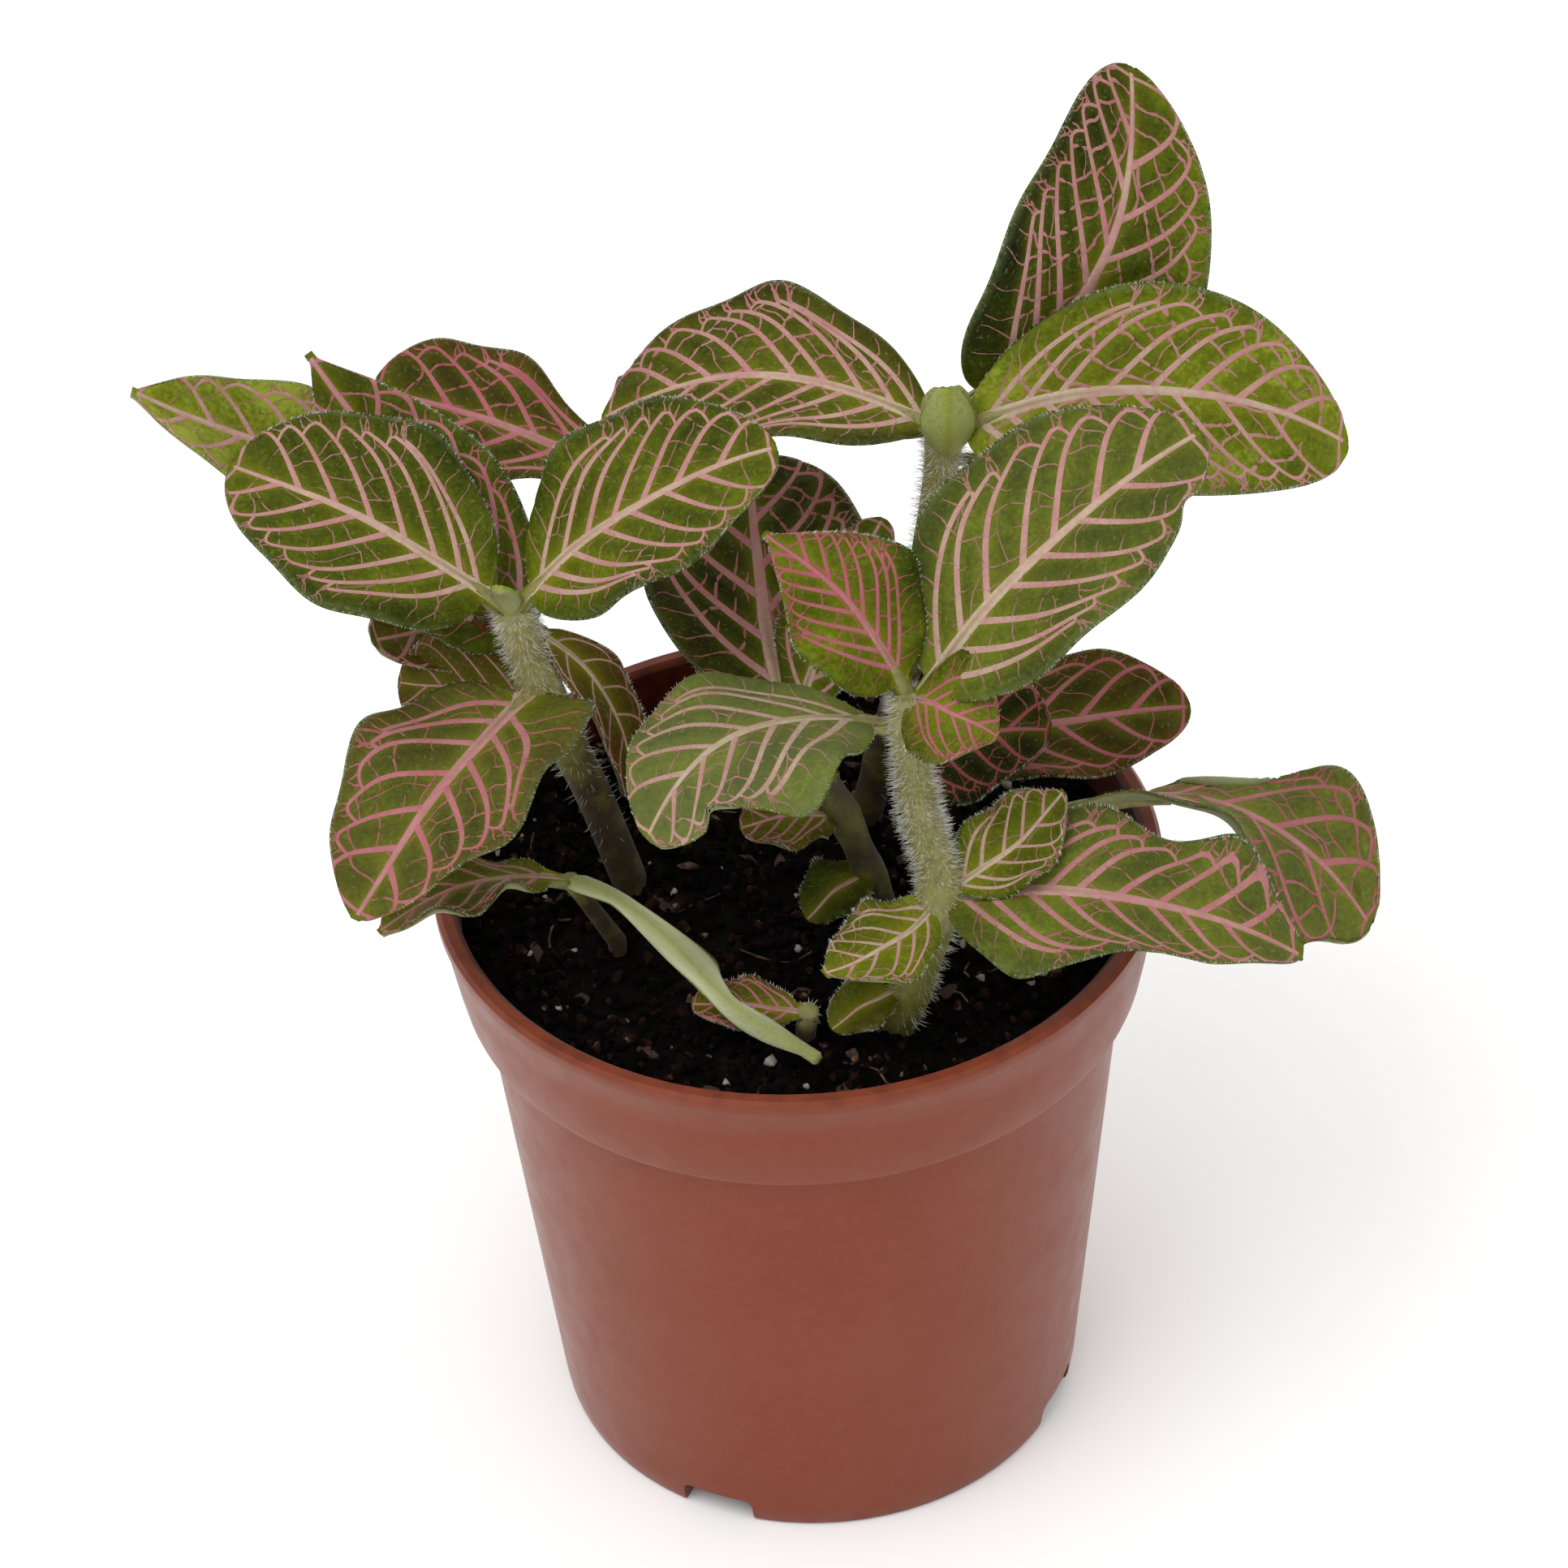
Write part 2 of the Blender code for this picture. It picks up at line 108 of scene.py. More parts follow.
STALK_HALF = 0.75
TIP_HALF = 0.35
ROOT_SINK = 0.6  # how far a stalk starts inside its stem
ROOT_DEPTH = 9.0  # how far a stem reaches down into the soil
LARGE_LEAF = 13.0  # from this width on a blade has the finest mesh
SMALL_LEAF = 4.0  # a narrower leaf has no fine veins, round stalk or hairs
CUP = 1.4  # power with which the sides rise from the midrib
WAVES = 2.5  # ruffles along a leaf
TWIST_EASE = 1.3  # power with which a twist grows towards the tip
ROW_EVEN = 0.4  # share of even spacing among the rows of a blade
STALK_ROWS = 0.05  # share of the rows that the stalk takes
RIB_REACH = 0.80  # share of the half width where a side vein ends
RIB_END = 0.955  # share of the length past which none runs
MARGIN_REACH = 0.97  # share of the half width where the last fine veins end
VEIN_SWAY = 0.16  # waver of a fine vein as a share of its length
FINE = 2  # rank from which a vein belongs to the fine net; 0 is the midrib and 1 a side vein
VEIN_LIFTS = (1.0, 0.75, 0.6, 0.5)  # height of each rank of vein as a share of the midrib's
VEIN_BLUSH = (-0.18, 0.0, 0.10, 0.12)  # how much rosier than its leaf's veins each rank is

# What a leaf has unless its own line says otherwise, in mm, degrees and shares.
# Form: facing is where its face looks; arch, sweep and snake bow it up, sideways and into an S; fold lifts
# its sides, twist turns its tip and wave ruffles it; stalk, point and belly shape its outline; each nick is
# (place, side, depth, spread, how far it is dragged back).
# Colour: tone runs from black to pale green, and slant tips it across the leaf as painted shade that darkens
# one side; bronze reddens it, and frost greys it, partly with the grey of its hairs and partly as painted
# sheen;
# back holds the grey and the pale share of the underside.
# Veins: rosy runs from cream to rose; rib is their width, pairs the number of side veins, net the strength
# of the fine ones, and lean how far the side veins of each half slope towards the tip.
PLAIN_LEAF = dict(
    facing=(0, -0.4, 1), arch=2.0, sweep=0.0, snake=0.0, fold=10.0, twist=0.0, wave=0.8,
    stalk=0.10, point=0.5, belly=0.95, nicks=(),
    tone=0.5, slant=0.0, bronze=0.0, frost=0.0, back=(0.92, 0.0),
    rosy=0.5, rib=1.0, pairs=5, net=0.6, lean=(0.9, 0.9))


def leaf(base, tip, width, **own):
    """One leaf: where it starts and ends, how wide it is, and what it has of its own."""
    return {**PLAIN_LEAF, "base": base, "tip": tip, "width": width, **own}


def shoot(stem, *leaves, slot="leaf_green", woolly=0.5, green_from=0.4):
    """One shoot: its stem as (x, y, z, radius), its leaves, its slot, its hairiness and where it greens."""
    return dict(stem=stem, leaves=leaves, slot=slot, woolly=woolly, green_from=green_from)


SHOOTS = {
    "shoot_left": shoot(
        [(-14, 2, 53, 1.5), (-16.5, 1.5, 63, 1.5), (-19.5, 0.5, 73, 1.6), (-21.5, 0, 83, 1.4)],
        leaf((-21.5, 0, 82.5), (-43, 6, 94), 18, arch=2.5, pairs=7, tone=0.42, rosy=0.45, net=0.5),
        leaf((-21.5, 0, 82.5), (0, -1, 98.1), 16.5, arch=2.5, sweep=0.8, pairs=7, tone=0.45, rosy=0.46,
             net=0.5),
        leaf((-19.8, 0.4, 75), (-34.8, -19, 67.8), 16.5, facing=(0, -0.1, 1), arch=3, sweep=0.6, wave=1.2,
             point=0.65, belly=0.85, pairs=6, tone=0.46, rosy=0.74, rib=1.15, lean=(0.6, 0.6), bronze=0.28,
             frost=0.08, nicks=((0.10, 1, -0.6, 0.10, 4.8),)),
        leaf((-19.8, 0.4, 76), (-36.8, 15, 98), 14, facing=(0.3, -0.9, 0.5), arch=1, point=1.1, belly=0.8,
             tone=0.4, rosy=0.7, rib=1.1, net=0.8),
        leaf((-19, 0.8, 73.5), (-31.2, 1, 75.5), 12, facing=(0, -0.9, 0.6), arch=1, tone=0.25, rib=0.6,
             net=0.2, bronze=0.75),
        leaf((-21.5, 0, 82.5), (-22.3, -1.5, 86.5), 2.6, facing=(0.3, 0.8, 0.3), arch=0.3, wave=0,
             tone=0.95, rosy=0.2),
        leaf((-21.2, 0.4, 81.5), (-13.5, 3, 61), 5.4, facing=(0.6, -0.6, 0.5), sweep=2, wave=0.4, tone=0.15,
             rosy=0.4, rib=0.5, net=0.1, bronze=0.7),
        woolly=1.5, green_from=0.55),
    "shoot_back_left": shoot(
        [(-17, 12, 53, 1.2), (-21, 14, 68, 1.2), (-26, 17, 81, 1.1)],
        leaf((-26, 17, 80.5), (-51, 14, 96), 11.5, fold=12, arch=-1, point=1, pairs=6, tone=0.85, rosy=0.45,
             net=0.4),
        leaf((-26, 17, 80.5), (-27, 38, 77), 15, facing=(0, 0.1, 1), arch=3, tone=0.45, rosy=0.6),
        leaf((-21.5, 14.2, 68.5), (-33, 2, 79), 12, facing=(0, -0.6, 1), tone=0.25, rosy=0.6, bronze=0.8),
        leaf((-22, 14.5, 70), (-23, 33, 66), 13, facing=(0, 0.1, 1), tone=0.4, rosy=0.6),
        slot="leaf_dark"),
    "shoot_rear": shoot(
        [(-4, 17, 53, 1.3), (-8, 18, 68, 1.3), (-12.5, 19, 83, 1.1)],
        leaf((-11.5, 18.5, 81.5), (-32.5, 21, 90.3), 13.5, facing=(0, -0.3, 1), arch=0.8, belly=1.4,
             tone=0.3, rosy=0.85, rib=1.1, net=0.85, bronze=0.3),
        leaf((-12.5, 19, 82.5), (-3, 33, 76), 13, facing=(0, 0, 1), arch=3, tone=0.4, rosy=0.7),
        leaf((-8, 18, 68), (-4, 37, 67), 15, facing=(0, 0.1, 1), arch=3, tone=0.35, rosy=0.6),
        slot="leaf_dark"),
    "shoot_front": shoot(
        [(7.5, -17, 53, 1.6), (11, -15.5, 64, 1.6), (9.6, -12.5, 72, 1.5), (9.2, -10, 80.5, 1.3)],
        leaf((9, -10.5, 77.5), (-11.5, -22, 77), 18, facing=(-0.1, 0.05, 1), sweep=-5, fold=5, belly=1.1,
             pairs=6, tone=0.6, rosy=0.32, rib=1.1, net=0.62, frost=0.32,
             nicks=((0.77, 1, 2.6, 0.05, 0), (0.44, 1, -3.8, 0.23, 0), (0.55, -1, 1.2, 0.25, 0))),
        leaf((9.2, -10.5, 78.5), (32.5, -3, 99), 19, facing=(-0.3, -0.45, 0.8), arch=2.5, fold=12, sweep=1,
             pairs=7, rosy=0.42, rib=1.1, net=0.5, frost=0.1, nicks=((0.86, -1, 1.2, 0.03, 0),)),
        leaf((9.2, -10, 80), (-1.4, -6, 93.7), 12.4, facing=(0.3, -0.6, 0.6), arch=1.5, sweep=-0.9,
             point=1.2, belly=0.82, pairs=7, tone=0.54, slant=0.1, rosy=0.88, rib=0.9, net=0.9,
             lean=(1.3, 1.3)),
        leaf((9.2, -10, 80), (15.9, -15.5, 80), 9.8, facing=(0, -0.6, 0.8), arch=1.5, point=0.8, tone=0.56,
             rosy=0.85, rib=0.95, net=0.8),
        leaf((11, -15.5, 64), (1.5, -22, 62.5), 8, facing=(0, -0.3, 1), arch=0.8, sweep=1.5, point=0.9,
             tone=0.62, rosy=0.35, rib=0.9),
        leaf((11, -15.5, 64.5), (21.3, -11, 70.6), 8, facing=(-0.2, -0.5, 1), arch=0.8, sweep=-1.2,
             point=0.8, tone=0.58, rosy=0.35, rib=0.9),
        leaf((11, -15.5, 64), (39.5, -19, 59), 14, facing=(0, -0.3, 1), arch=4.5, wave=1.3, stalk=0.03,
             point=0.7, belly=0.65, pairs=8, tone=0.52, rosy=0.62, rib=1.05, frost=0.12,
             nicks=((0.83, 1, -2.4, 0.17, 0), (0.17, -1, -2.6, 0.10, 0), (0.62, -1, 1.2, 0.12, 0))),
        leaf((7.5, -17, 56), (2, -20.5, 55.2), 5, facing=(0, -0.3, 1), arch=0.5, wave=0.3, tone=0.45,
             rib=0.8, bronze=0.3),
        woolly=4.2, green_from=0.1),
    "shoot_low_left": shoot(
        [(-15, -6, 53, 0.8), (-18.5, -8, 61.8, 0.6)],
        leaf((-18.5, -8, 61.5), (-33.5, -14.5, 62.5), 8.5, facing=(0, 0.2, 1), wave=1.2, point=0.8,
             rosy=0.65, bronze=0.25),
        leaf((-18.5, -8, 61.5), (1, -24, 55), 2.5, facing=(0.1, 0.5, -0.85), arch=-2, fold=32, snake=-0.8,
             wave=0.5, point=0.8, tone=0.9, rosy=0.3, back=(0.92, 0.5),
             nicks=((0.46, -1, -1.0, 0.09, 0), (0.64, -1, 0.8, 0.06, 0), (0.82, -1, -0.5, 0.08, 0))),
        woolly=0.05, green_from=0.9),
    "shoot_centre": shoot(
        [(7, -4, 53, 1.2), (3.8, -3, 63, 1.2), (0, 0, 69.5, 1.1)],
        leaf((0, 0, 69), (-2, 21.5, 81), 19, facing=(0, -0.25, 1), arch=2.5, sweep=1, tone=0.2, rosy=0.62,
             rib=1.35, net=0.8, bronze=0.12),
        leaf((4, -3, 62.5), (-4.5, -5, 63.5), 7, facing=(0, -0.3, 1), arch=1, tone=0.4, rosy=0.6,
             bronze=0.4),
        leaf((6, -3.5, 57), (0.5, -8, 56), 6, facing=(0, -0.3, 1), arch=1, tone=0.3, rosy=0.6),
        leaf((0, 0, 69), (8.3, 9.5, 83), 8.5, facing=(-0.3, -0.4, 1), arch=1, tone=0.4),
        slot="leaf_dark", green_from=0.8),
    "shoot_tall": shoot(
        [(6, 9, 53, 1.4), (9, 8, 66, 1.4), (12, 8, 82, 1.4), (13.5, 9, 93, 1.3)],
        leaf((13.2, 9, 91.6), (-14, 17, 88.8), 17, facing=(0, -0.25, 1), arch=4, sweep=-1.7, stalk=0.03,
             belly=1.12, pairs=8, tone=0.38, rosy=0.48, net=0.9, bronze=0.14),
        leaf((13.6, 8.2, 92), (45.2, 7.5, 89.5), 17, facing=(0, -0.8, 0.65), arch=5, sweep=3.6, stalk=0.04,
             pairs=8, tone=0.68, rosy=0.42, net=1.0),
        leaf((13.4, 9.4, 92.5), (28.8, 18, 119), 17.2, facing=(0.25, -0.75, 0.45), arch=0.5, sweep=-5.2,
             pairs=7, tone=0.4, slant=-0.3, net=0.9, lean=(1.5, 0.9)),
        leaf((8.6, 8, 60), (33, 8, 63.2), 12, facing=(0, -0.4, 0.9), arch=1, belly=1.15, tone=0.24,
             rosy=0.85, rib=1.1, net=0.55, bronze=0.45),
        leaf((8.2, 8, 59.5), (21, 0.5, 67.5), 14, facing=(0, -0.5, 0.85), tone=-0.5, rosy=1.0, net=0.7),
        leaf((13.0, 8.0, 91.5), (13.1, 7.2, 96.8), 4.2, facing=(0.8, 0.5, 0.3), arch=-1.1, fold=25, wave=0,
             stalk=0.02, tone=0.86, rosy=0.1, back=(0.3, 0.1)),
        leaf((14.0, 8.0, 91.5), (13.9, 7.3, 96.8), 4.2, facing=(-0.8, 0.5, 0.3), arch=-1.1, fold=25, wave=0,
             stalk=0.02, tone=0.86, rosy=0.1, back=(0.3, 0.1)),
        leaf((13.5, 7.4, 91), (13.5, 6.6, 97.6), 4.8, facing=(0, 1, 0.3), arch=-1.2, fold=25, wave=0,
             stalk=0.02, tone=0.9, rosy=0.1, back=(0.3, 0.1)),
        woolly=1.4, green_from=0.55),
    "shoot_right": shoot(
        [(18, -3, 53, 1.2), (21.5, -2.5, 62, 1.1)],
        leaf((21.5, -2.5, 61.5), (46.2, -9, 53), 15.5, facing=(0.2, 0.9, 0.6), arch=5.6, twist=115,
             belly=1.7, tone=0.66, rosy=0.72, net=0.9, bronze=0.22, frost=0.2,
             nicks=((0.42, 1, 3.8, 0.20, 0), (0.80, 1, -0.6, 0.15, 0), (0.62, -1, -5.0, 0.22, 0),
                    (0.90, -1, 1.4, 0.12, 0)))),
    "shoot_back_right": shoot(
        [(12, 20, 53, 1.3), (16, 22, 64, 1.3), (20, 24, 73, 1.1)],
        leaf((20, 24, 72.5), (33, 27, 76), 13, facing=(0, 0, 1), tone=0.45, rosy=0.6),
        leaf((20, 24, 72.5), (22, 37, 66), 12, facing=(0, 0.2, 1), tone=0.4, rosy=0.6),
        leaf((16, 22, 63), (29, 25, 65), 10, facing=(0, 0, 1), tone=0.35, rosy=0.7),
        slot="leaf_dark"),
    "shoot_seedling": shoot(
        [(0, -18, 53, 0.8), (0.3, -18.3, 55.5, 0.7)],
        leaf((0.3, -18.3, 55), (-9, -17.5, 56), 5, facing=(0, -0.3, 1), arch=0.5, wave=0.4, tone=0.35,
             rosy=0.7, rib=0.8, bronze=0.3),
        slot="leaf_dark"),
}


# ---- leaf surface -------------------------------------------------------------------------------

def unit(v):
    """The vector at length one."""
    return v / np.linalg.norm(v)


def smooth(t):
    """An even rise from 0 to 1."""
    t = np.clip(t, 0, 1)
    return t * t * (3 - 2 * t)


def leaf_frame(one):
    """The leaf's base, length and its three directions: along, up from the face, and across."""
    base, tip = np.array(one["base"], float), np.array(one["tip"], float)
    chord = unit(tip - base)
    facing = np.array(one["facing"], float)
    up = unit(facing - chord * facing.dot(chord))
    return base, np.linalg.norm(tip - base), chord, up, np.cross(up, chord)


def blade_share(one, along):
    """Shares of the blade alone, past the stalk, for shares of the leaf's length."""
    return (along - one["stalk"]) / (1 - one["stalk"])


def half_width(one, along):
    """Half the leaf's width at each share of its length."""
    reach = np.clip(blade_share(one, along), 0, 1)
    taper = 0.5 + (one["point"] - 0.5) * reach
    blade = one["width"] / 2 * np.maximum(np.sin(np.pi * reach ** one["belly"]), 1e-9) ** taper
    blade = np.maximum(blade, np.maximum(STALK_HALF * (1 - reach), TIP_HALF))
    return np.where(along <= one["stalk"], STALK_HALF, blade)


def pulled_in(one, along, across):
    """Shares along and across after nicks have drawn the margin in, or lobes have pushed it out and back."""
    reach, half, length = blade_share(one, along), half_width(one, along), leaf_frame(one)[1]
    shifted = along
    for place, hand, depth, spread, back in one["nicks"]:
        near = np.exp(-((reach - place) / spread) ** 2) * (across * hand > 0) * np.abs(across) ** 3
        across = across * (1 - np.minimum(depth / half, 0.8) * near)
        shifted = shifted - back / length * near
    return shifted, across


def leaf_points(one, along, across):
    """Points of the leaf's face in millimetres, for shares along and across it."""
    base, length, chord, up, side = leaf_frame(one)
    along, across = np.asarray(along, float), np.asarray(across, float)
    half = half_width(one, along)
    along, across = pulled_in(one, along, across)
    bow = 4 * along * (1 - along)
    centre = base + np.outer(along * length, chord) + np.outer(one["arch"] * bow, up)
    centre += np.outer(one["sweep"] * bow + one["snake"] * np.sin(math.tau * along), side)
    turn = math.radians(one["twist"]) * np.maximum(along, 0) ** TWIST_EASE
    fold = math.radians(one["fold"])
    ripple = np.sin(math.tau * WAVES * along + np.where(across > 0, 1.9, 0.0))
    lift = half * math.sin(fold) * np.abs(across) ** CUP
    lift += one["wave"] * ripple * across * across * np.sin(np.pi * along)
    shift = half * across * math.cos(fold)
    cos, sin = np.cos(turn), np.sin(turn)
    sideways = np.outer(cos, side) + np.outer(sin, np.cross(chord, side))
    upwards = np.outer(cos, up) + np.outer(sin, np.cross(chord, up))
    return centre + sideways * shift[:, None] + upwards * lift[:, None]


def leaf_normals(one, along, across):
    """Outward directions of the leaf's face."""
    d = 0.002
    run = leaf_points(one, along + d, across) - leaf_points(one, along - d, across)
    span = leaf_points(one, along, across + d) - leaf_points(one, along, across - d)
    n = np.cross(run, span)
    return n / np.maximum(np.linalg.norm(n, axis=1), 1e-12)[:, None]


# ---- leaf veins, laid out on the flattened leaf: x along it and y across it, in mm ----------------

def side_rib(one, start, hand, slope, length):
    """A side vein from the midrib towards the margin, swinging round to run beside the margin."""
    x, y, points = start, 0.0, []
    while True:
        half = float(half_width(one, np.array(x / length)))
        points.append((x, hand * y))
        reach = y / half
        if reach > RIB_REACH or x > RIB_END * length or len(points) > 120:
            return np.array(points)
        lean = slope + 0.35 * reach + 2.4 * min(reach / RIB_REACH, 1) ** 5
        step = 0.25 / math.hypot(1, lean)
        y += step
        x += step * lean


def bend(a, via, b, steps):
    """A smooth line from a to b that is drawn towards via."""
    t = np.linspace(0, 1, steps)[:, None]
    return (1 - t) ** 2 * a + 2 * t * (1 - t) * via + t * t * b


def at_share(path, share):
    """The point a share of the way along a line."""
    place = min(max(share, 0), 1) * (len(path) - 1)
    low = min(int(place), len(path) - 2)
    return path[low] + (path[low + 1] - path[low]) * (place - low)


def crooked(a, b, dice, steps):
    """A short vein from a to b with a little waver in it."""
    t = np.linspace(0, 1, steps)
    across = np.array((-(b - a)[1], (b - a)[0]))
    bow = dice.uniform(-VEIN_SWAY, VEIN_SWAY) * np.sin(np.pi * t)
    waver = dice.uniform(-VEIN_SWAY, VEIN_SWAY) / 2 * np.sin(2 * np.pi * t)
    return a + np.outer(t, b - a) + np.outer(bow + waver, across)


def margin_point(one, x, hand, share, length):
    """The point at a share of the half width, on the flattened leaf."""
    x = min(max(x, 0.12 * length), 0.975 * length)
    return np.array((x, hand * share * float(half_width(one, np.array(x / length)))))


def vein_lines(one, name):
    """All veins of one leaf as (points, start width, end width, rank)."""
    dice = random.Random(name)
    length = leaf_frame(one)[1]
    stalk, blade = one["stalk"] * length, (1 - one["stalk"]) * length
    rib = one["rib"] * math.sqrt(min(blade, 26) / 25)
    xs = np.linspace(0.25 * stalk, 0.985 * length, max(12, int(length / 0.5)))
    sway = 0.10 * np.sin((xs - stalk) / blade * 9.0) * smooth((xs - stalk) / blade * 3)
    lines = [(np.column_stack((xs, sway)), 1.4 * rib, 0.42 * rib, 0)]
    if blade >= 7:
        for hand in (1, -1):
            lines += half_veins(one, dice, hand, stalk, blade, length, rib)
    return lines


def half_veins(one, dice, hand, stalk, blade, length, rib):
    """The veins on one side of the midrib: side veins, the loops that join their ends, and the fine ones."""
    count, lean = one["pairs"], one["lean"][hand < 0]
    shares = [0.03 + 0.86 * ((i + 0.22 * (1 + hand)) / count) ** 1.2 for i in range(count)]
    starts = [stalk + blade * (share + dice.uniform(-0.012, 0.012)) for share in shares]
    slopes = [lean * (0.85 + 0.3 * (i / count)) + dice.uniform(-0.08, 0.08) for i in range(count)]
    ribs = [side_rib(one, start, hand, slope, length) for start, slope in zip(starts, slopes)]
    ribs = [r for r in ribs if len(r) > 4]
    lines = [(r, 0.84 * rib, 0.48 * rib, 1) for r in ribs]
    tip = np.array((0.975 * length, 0.0))
    for i, r in enumerate(ribs):
        goal = tip if i + 1 == len(ribs) else at_share(ribs[i + 1], dice.uniform(0.80, 0.90))
        heading = unit(r[-1] - r[-3])
        via = r[-1] + heading * np.linalg.norm(goal - r[-1]) * 0.55
        loop = bend(r[-1], via, goal, 9)
        lines.append((loop, 0.50 * rib, 0.34 * rib, 1))
        lines += margin_spurs(one, dice, hand, loop, length, rib)
    return lines + cross_veins(one, dice, hand, ribs, length, rib)


def margin_spurs(one, dice, hand, loop, length, rib):
    """Short forked veins that run out from a loop to the margin."""
    lines = []
    width = (0.20 + 0.16 * one["net"]) * rib
    for share in (0.0, 0.33, 0.66):
        a = at_share(loop, share + dice.uniform(0.0, 0.2))
        reach = dice.uniform(0.3, 1.1)
        b = margin_point(one, a[0] + reach, hand, MARGIN_REACH, length)
        lines.append((crooked(a, b, dice, 4), width, width * 0.5, 2))
        fork = a + (b - a) * dice.uniform(0.3, 0.6)
        c = margin_point(one, fork[0] + dice.uniform(-0.8, -0.1), hand, MARGIN_REACH, length)
        if dice.random() < 0.5:
            lines.append((crooked(fork, c, dice, 4), width * 0.7, width * 0.4, 2))
    return lines


def cross_veins(one, dice, hand, ribs, length, rib):
    """The fine net between neighbouring side veins: closed near the margin, broken off near the midrib."""
    lines, net = [], one["net"]
    middle = np.array([(x, 0.0) for x in np.linspace(ribs[-1][0][0] + 0.4, 0.96 * length, 8)])
    for r, ahead in zip(ribs, ribs[1:] + [middle]):
        span = np.linalg.norm(np.diff(r, axis=0), axis=1).sum()
        links = max(2, int(span / 2.0))
        made = []
        for k in range(links):
            share = (k + 0.6 + dice.uniform(-0.25, 0.25)) / links
            a = at_share(r, share)
            b = at_share(ahead, share * 0.90 - 0.10 + dice.uniform(-0.07, 0.07))
            whole = dice.random() < net * 0.6 + 0.5 * share
            width = (0.13 + 0.38 * net ** 2 * dice.uniform(0.75, 1.15)) * rib
            stop = 1.0 if whole else dice.uniform(0.25, 0.6)
            link = crooked(a, a + (b - a) * stop, dice, 6)
            lines.append((link, width, width * (0.8 if whole else 0.45), 2))
            if whole:
                made.append(link)
            elif dice.random() < 0.6:
                c = at_share(ahead, share + dice.uniform(-0.15, 0.05))
                stub = crooked(c, c + (a - c) * dice.uniform(0.2, 0.4), dice, 4)
                lines.append((stub, width * 0.8, width * 0.45, 2))
        for low, high in zip(made, made[1:]):
            if dice.random() < 0.15 + 0.45 * net:
                a, b = at_share(low, dice.uniform(0.35, 0.7)), at_share(high, dice.uniform(0.3, 0.7))
                thin = crooked(a, b, dice, 4)
                lines.append((thin, (0.12 + 0.12 * net) * rib, (0.10 + 0.10 * net) * rib, 3))
    for k in range(6):
        a = at_share(ribs[0], 0.1 + 0.16 * k)
        b = margin_point(one, a[0] + dice.uniform(-0.5, 0.9), hand, 0.96, length)
        lines.append((crooked(a, b, dice, 5), 0.24 * rib, 0.12 * rib, 2))
    return lines


# ---- mesh helpers -------------------------------------------------------------------------------

def grid_part(bm, columns, rows):
    """A fresh flat grid in bm: its vertices and their places as two arrays from 0 to 1."""
    verts = bmesh.ops.create_grid(bm, x_segments=columns, y_segments=rows, size=1.0)["verts"]
    flat = np.array([v.co[:2] for v in verts])
    return verts, (flat[:, 0] + 1) / 2, (flat[:, 1] + 1) / 2


def place(verts, points):
    """Moves the vertices to the given points, which are in millimetres."""
    for v, p in zip(verts, (points * MM).tolist()):
        v.co = p


def fresh(*names):
    """An empty bmesh whose vertices hold one number under each name."""
    bm = bmesh.new()
    for name in names:
        bm.verts.layers.float.new(name)
    return bm


def paint(bm, verts, **values):
    """Stores one number for each vertex under each name."""
    for name, numbers in values.items():
        layer = bm.verts.layers.float[name]
        if np.isscalar(numbers):
            numbers = [numbers] * len(verts)
        for v, number in zip(verts, numbers):
            v[layer] = float(number)


def corners(face):
    """The indices of a face's points, lowest first."""
    return tuple(sorted(v.index for v in face.verts))


def in_order(bm):
    """Sorts the faces by their points, because spin and bevel leave them in another order on each run."""
    bm.verts.index_update()
    rank = {key: number for number, key in enumerate(sorted(corners(face) for face in bm.faces))}
    bm.faces.sort(key=lambda face: rank[corners(face)])


def spun(bm, section, steps):
    """Turns the section's (radius, height) points, in mm, about the upright axis into a closed skin."""
    verts = [bm.verts.new((r * MM, 0, h * MM)) for r, h in section]
    edges = [bm.edges.new(pair) for pair in zip(verts, verts[1:])]
    bmesh.ops.spin(bm, geom=verts + edges, axis=(0, 0, 1), cent=(0, 0, 0), angle=math.tau, steps=steps,
                   use_merge=True)
    bmesh.ops.remove_doubles(bm, verts=bm.verts[:], dist=1e-6)
    in_order(bm)


def gather(bm, part):
    """Adds a finished part to bm and frees it."""
    mesh = bpy.data.meshes.new("part")
    part.to_mesh(mesh)
    part.free()
    bm.from_mesh(mesh)
    bpy.data.meshes.remove(mesh)


def in_batches(bm, names, count, add_one):
    """Calls add_one count times with a small bmesh and gathers the batches in bm, which is much faster."""
    for first in range(0, count, BATCH):
        part = fresh(*names)
        for _ in range(min(BATCH, count - first)):
            add_one(part)
        gather(bm, part)


def add_object(name, mesh, material):
    """Shows a mesh in its material."""
    mesh.materials.append(material)
    obj = bpy.data.objects.new(name, mesh)
    bpy.context.scene.collection.objects.link(obj)
    return obj


def add_piece(bm, name, material, node, sharp=None):
    """Turns bm into a finished piece that rides on the body and stands for the node."""
    if not bm.faces:
        raise RuntimeError(f"{name} has no faces")
    mesh = bpy.data.meshes.new(name)
    bm.to_mesh(mesh)
    bm.free()
    mesh.polygons.foreach_set("use_smooth", [True] * len(mesh.polygons))
    if sharp:
        mesh.set_sharp_from_angle(angle=math.radians(sharp))
    obj = add_object(name, mesh, material)
    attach(obj, "root")
    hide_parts(node)


# ---- materials ----------------------------------------------------------------------------------

SHARE, BELOW, ABOVE, MIXED = 0, 6, 7, 2  # sockets of a Mix node that lays one colour over another


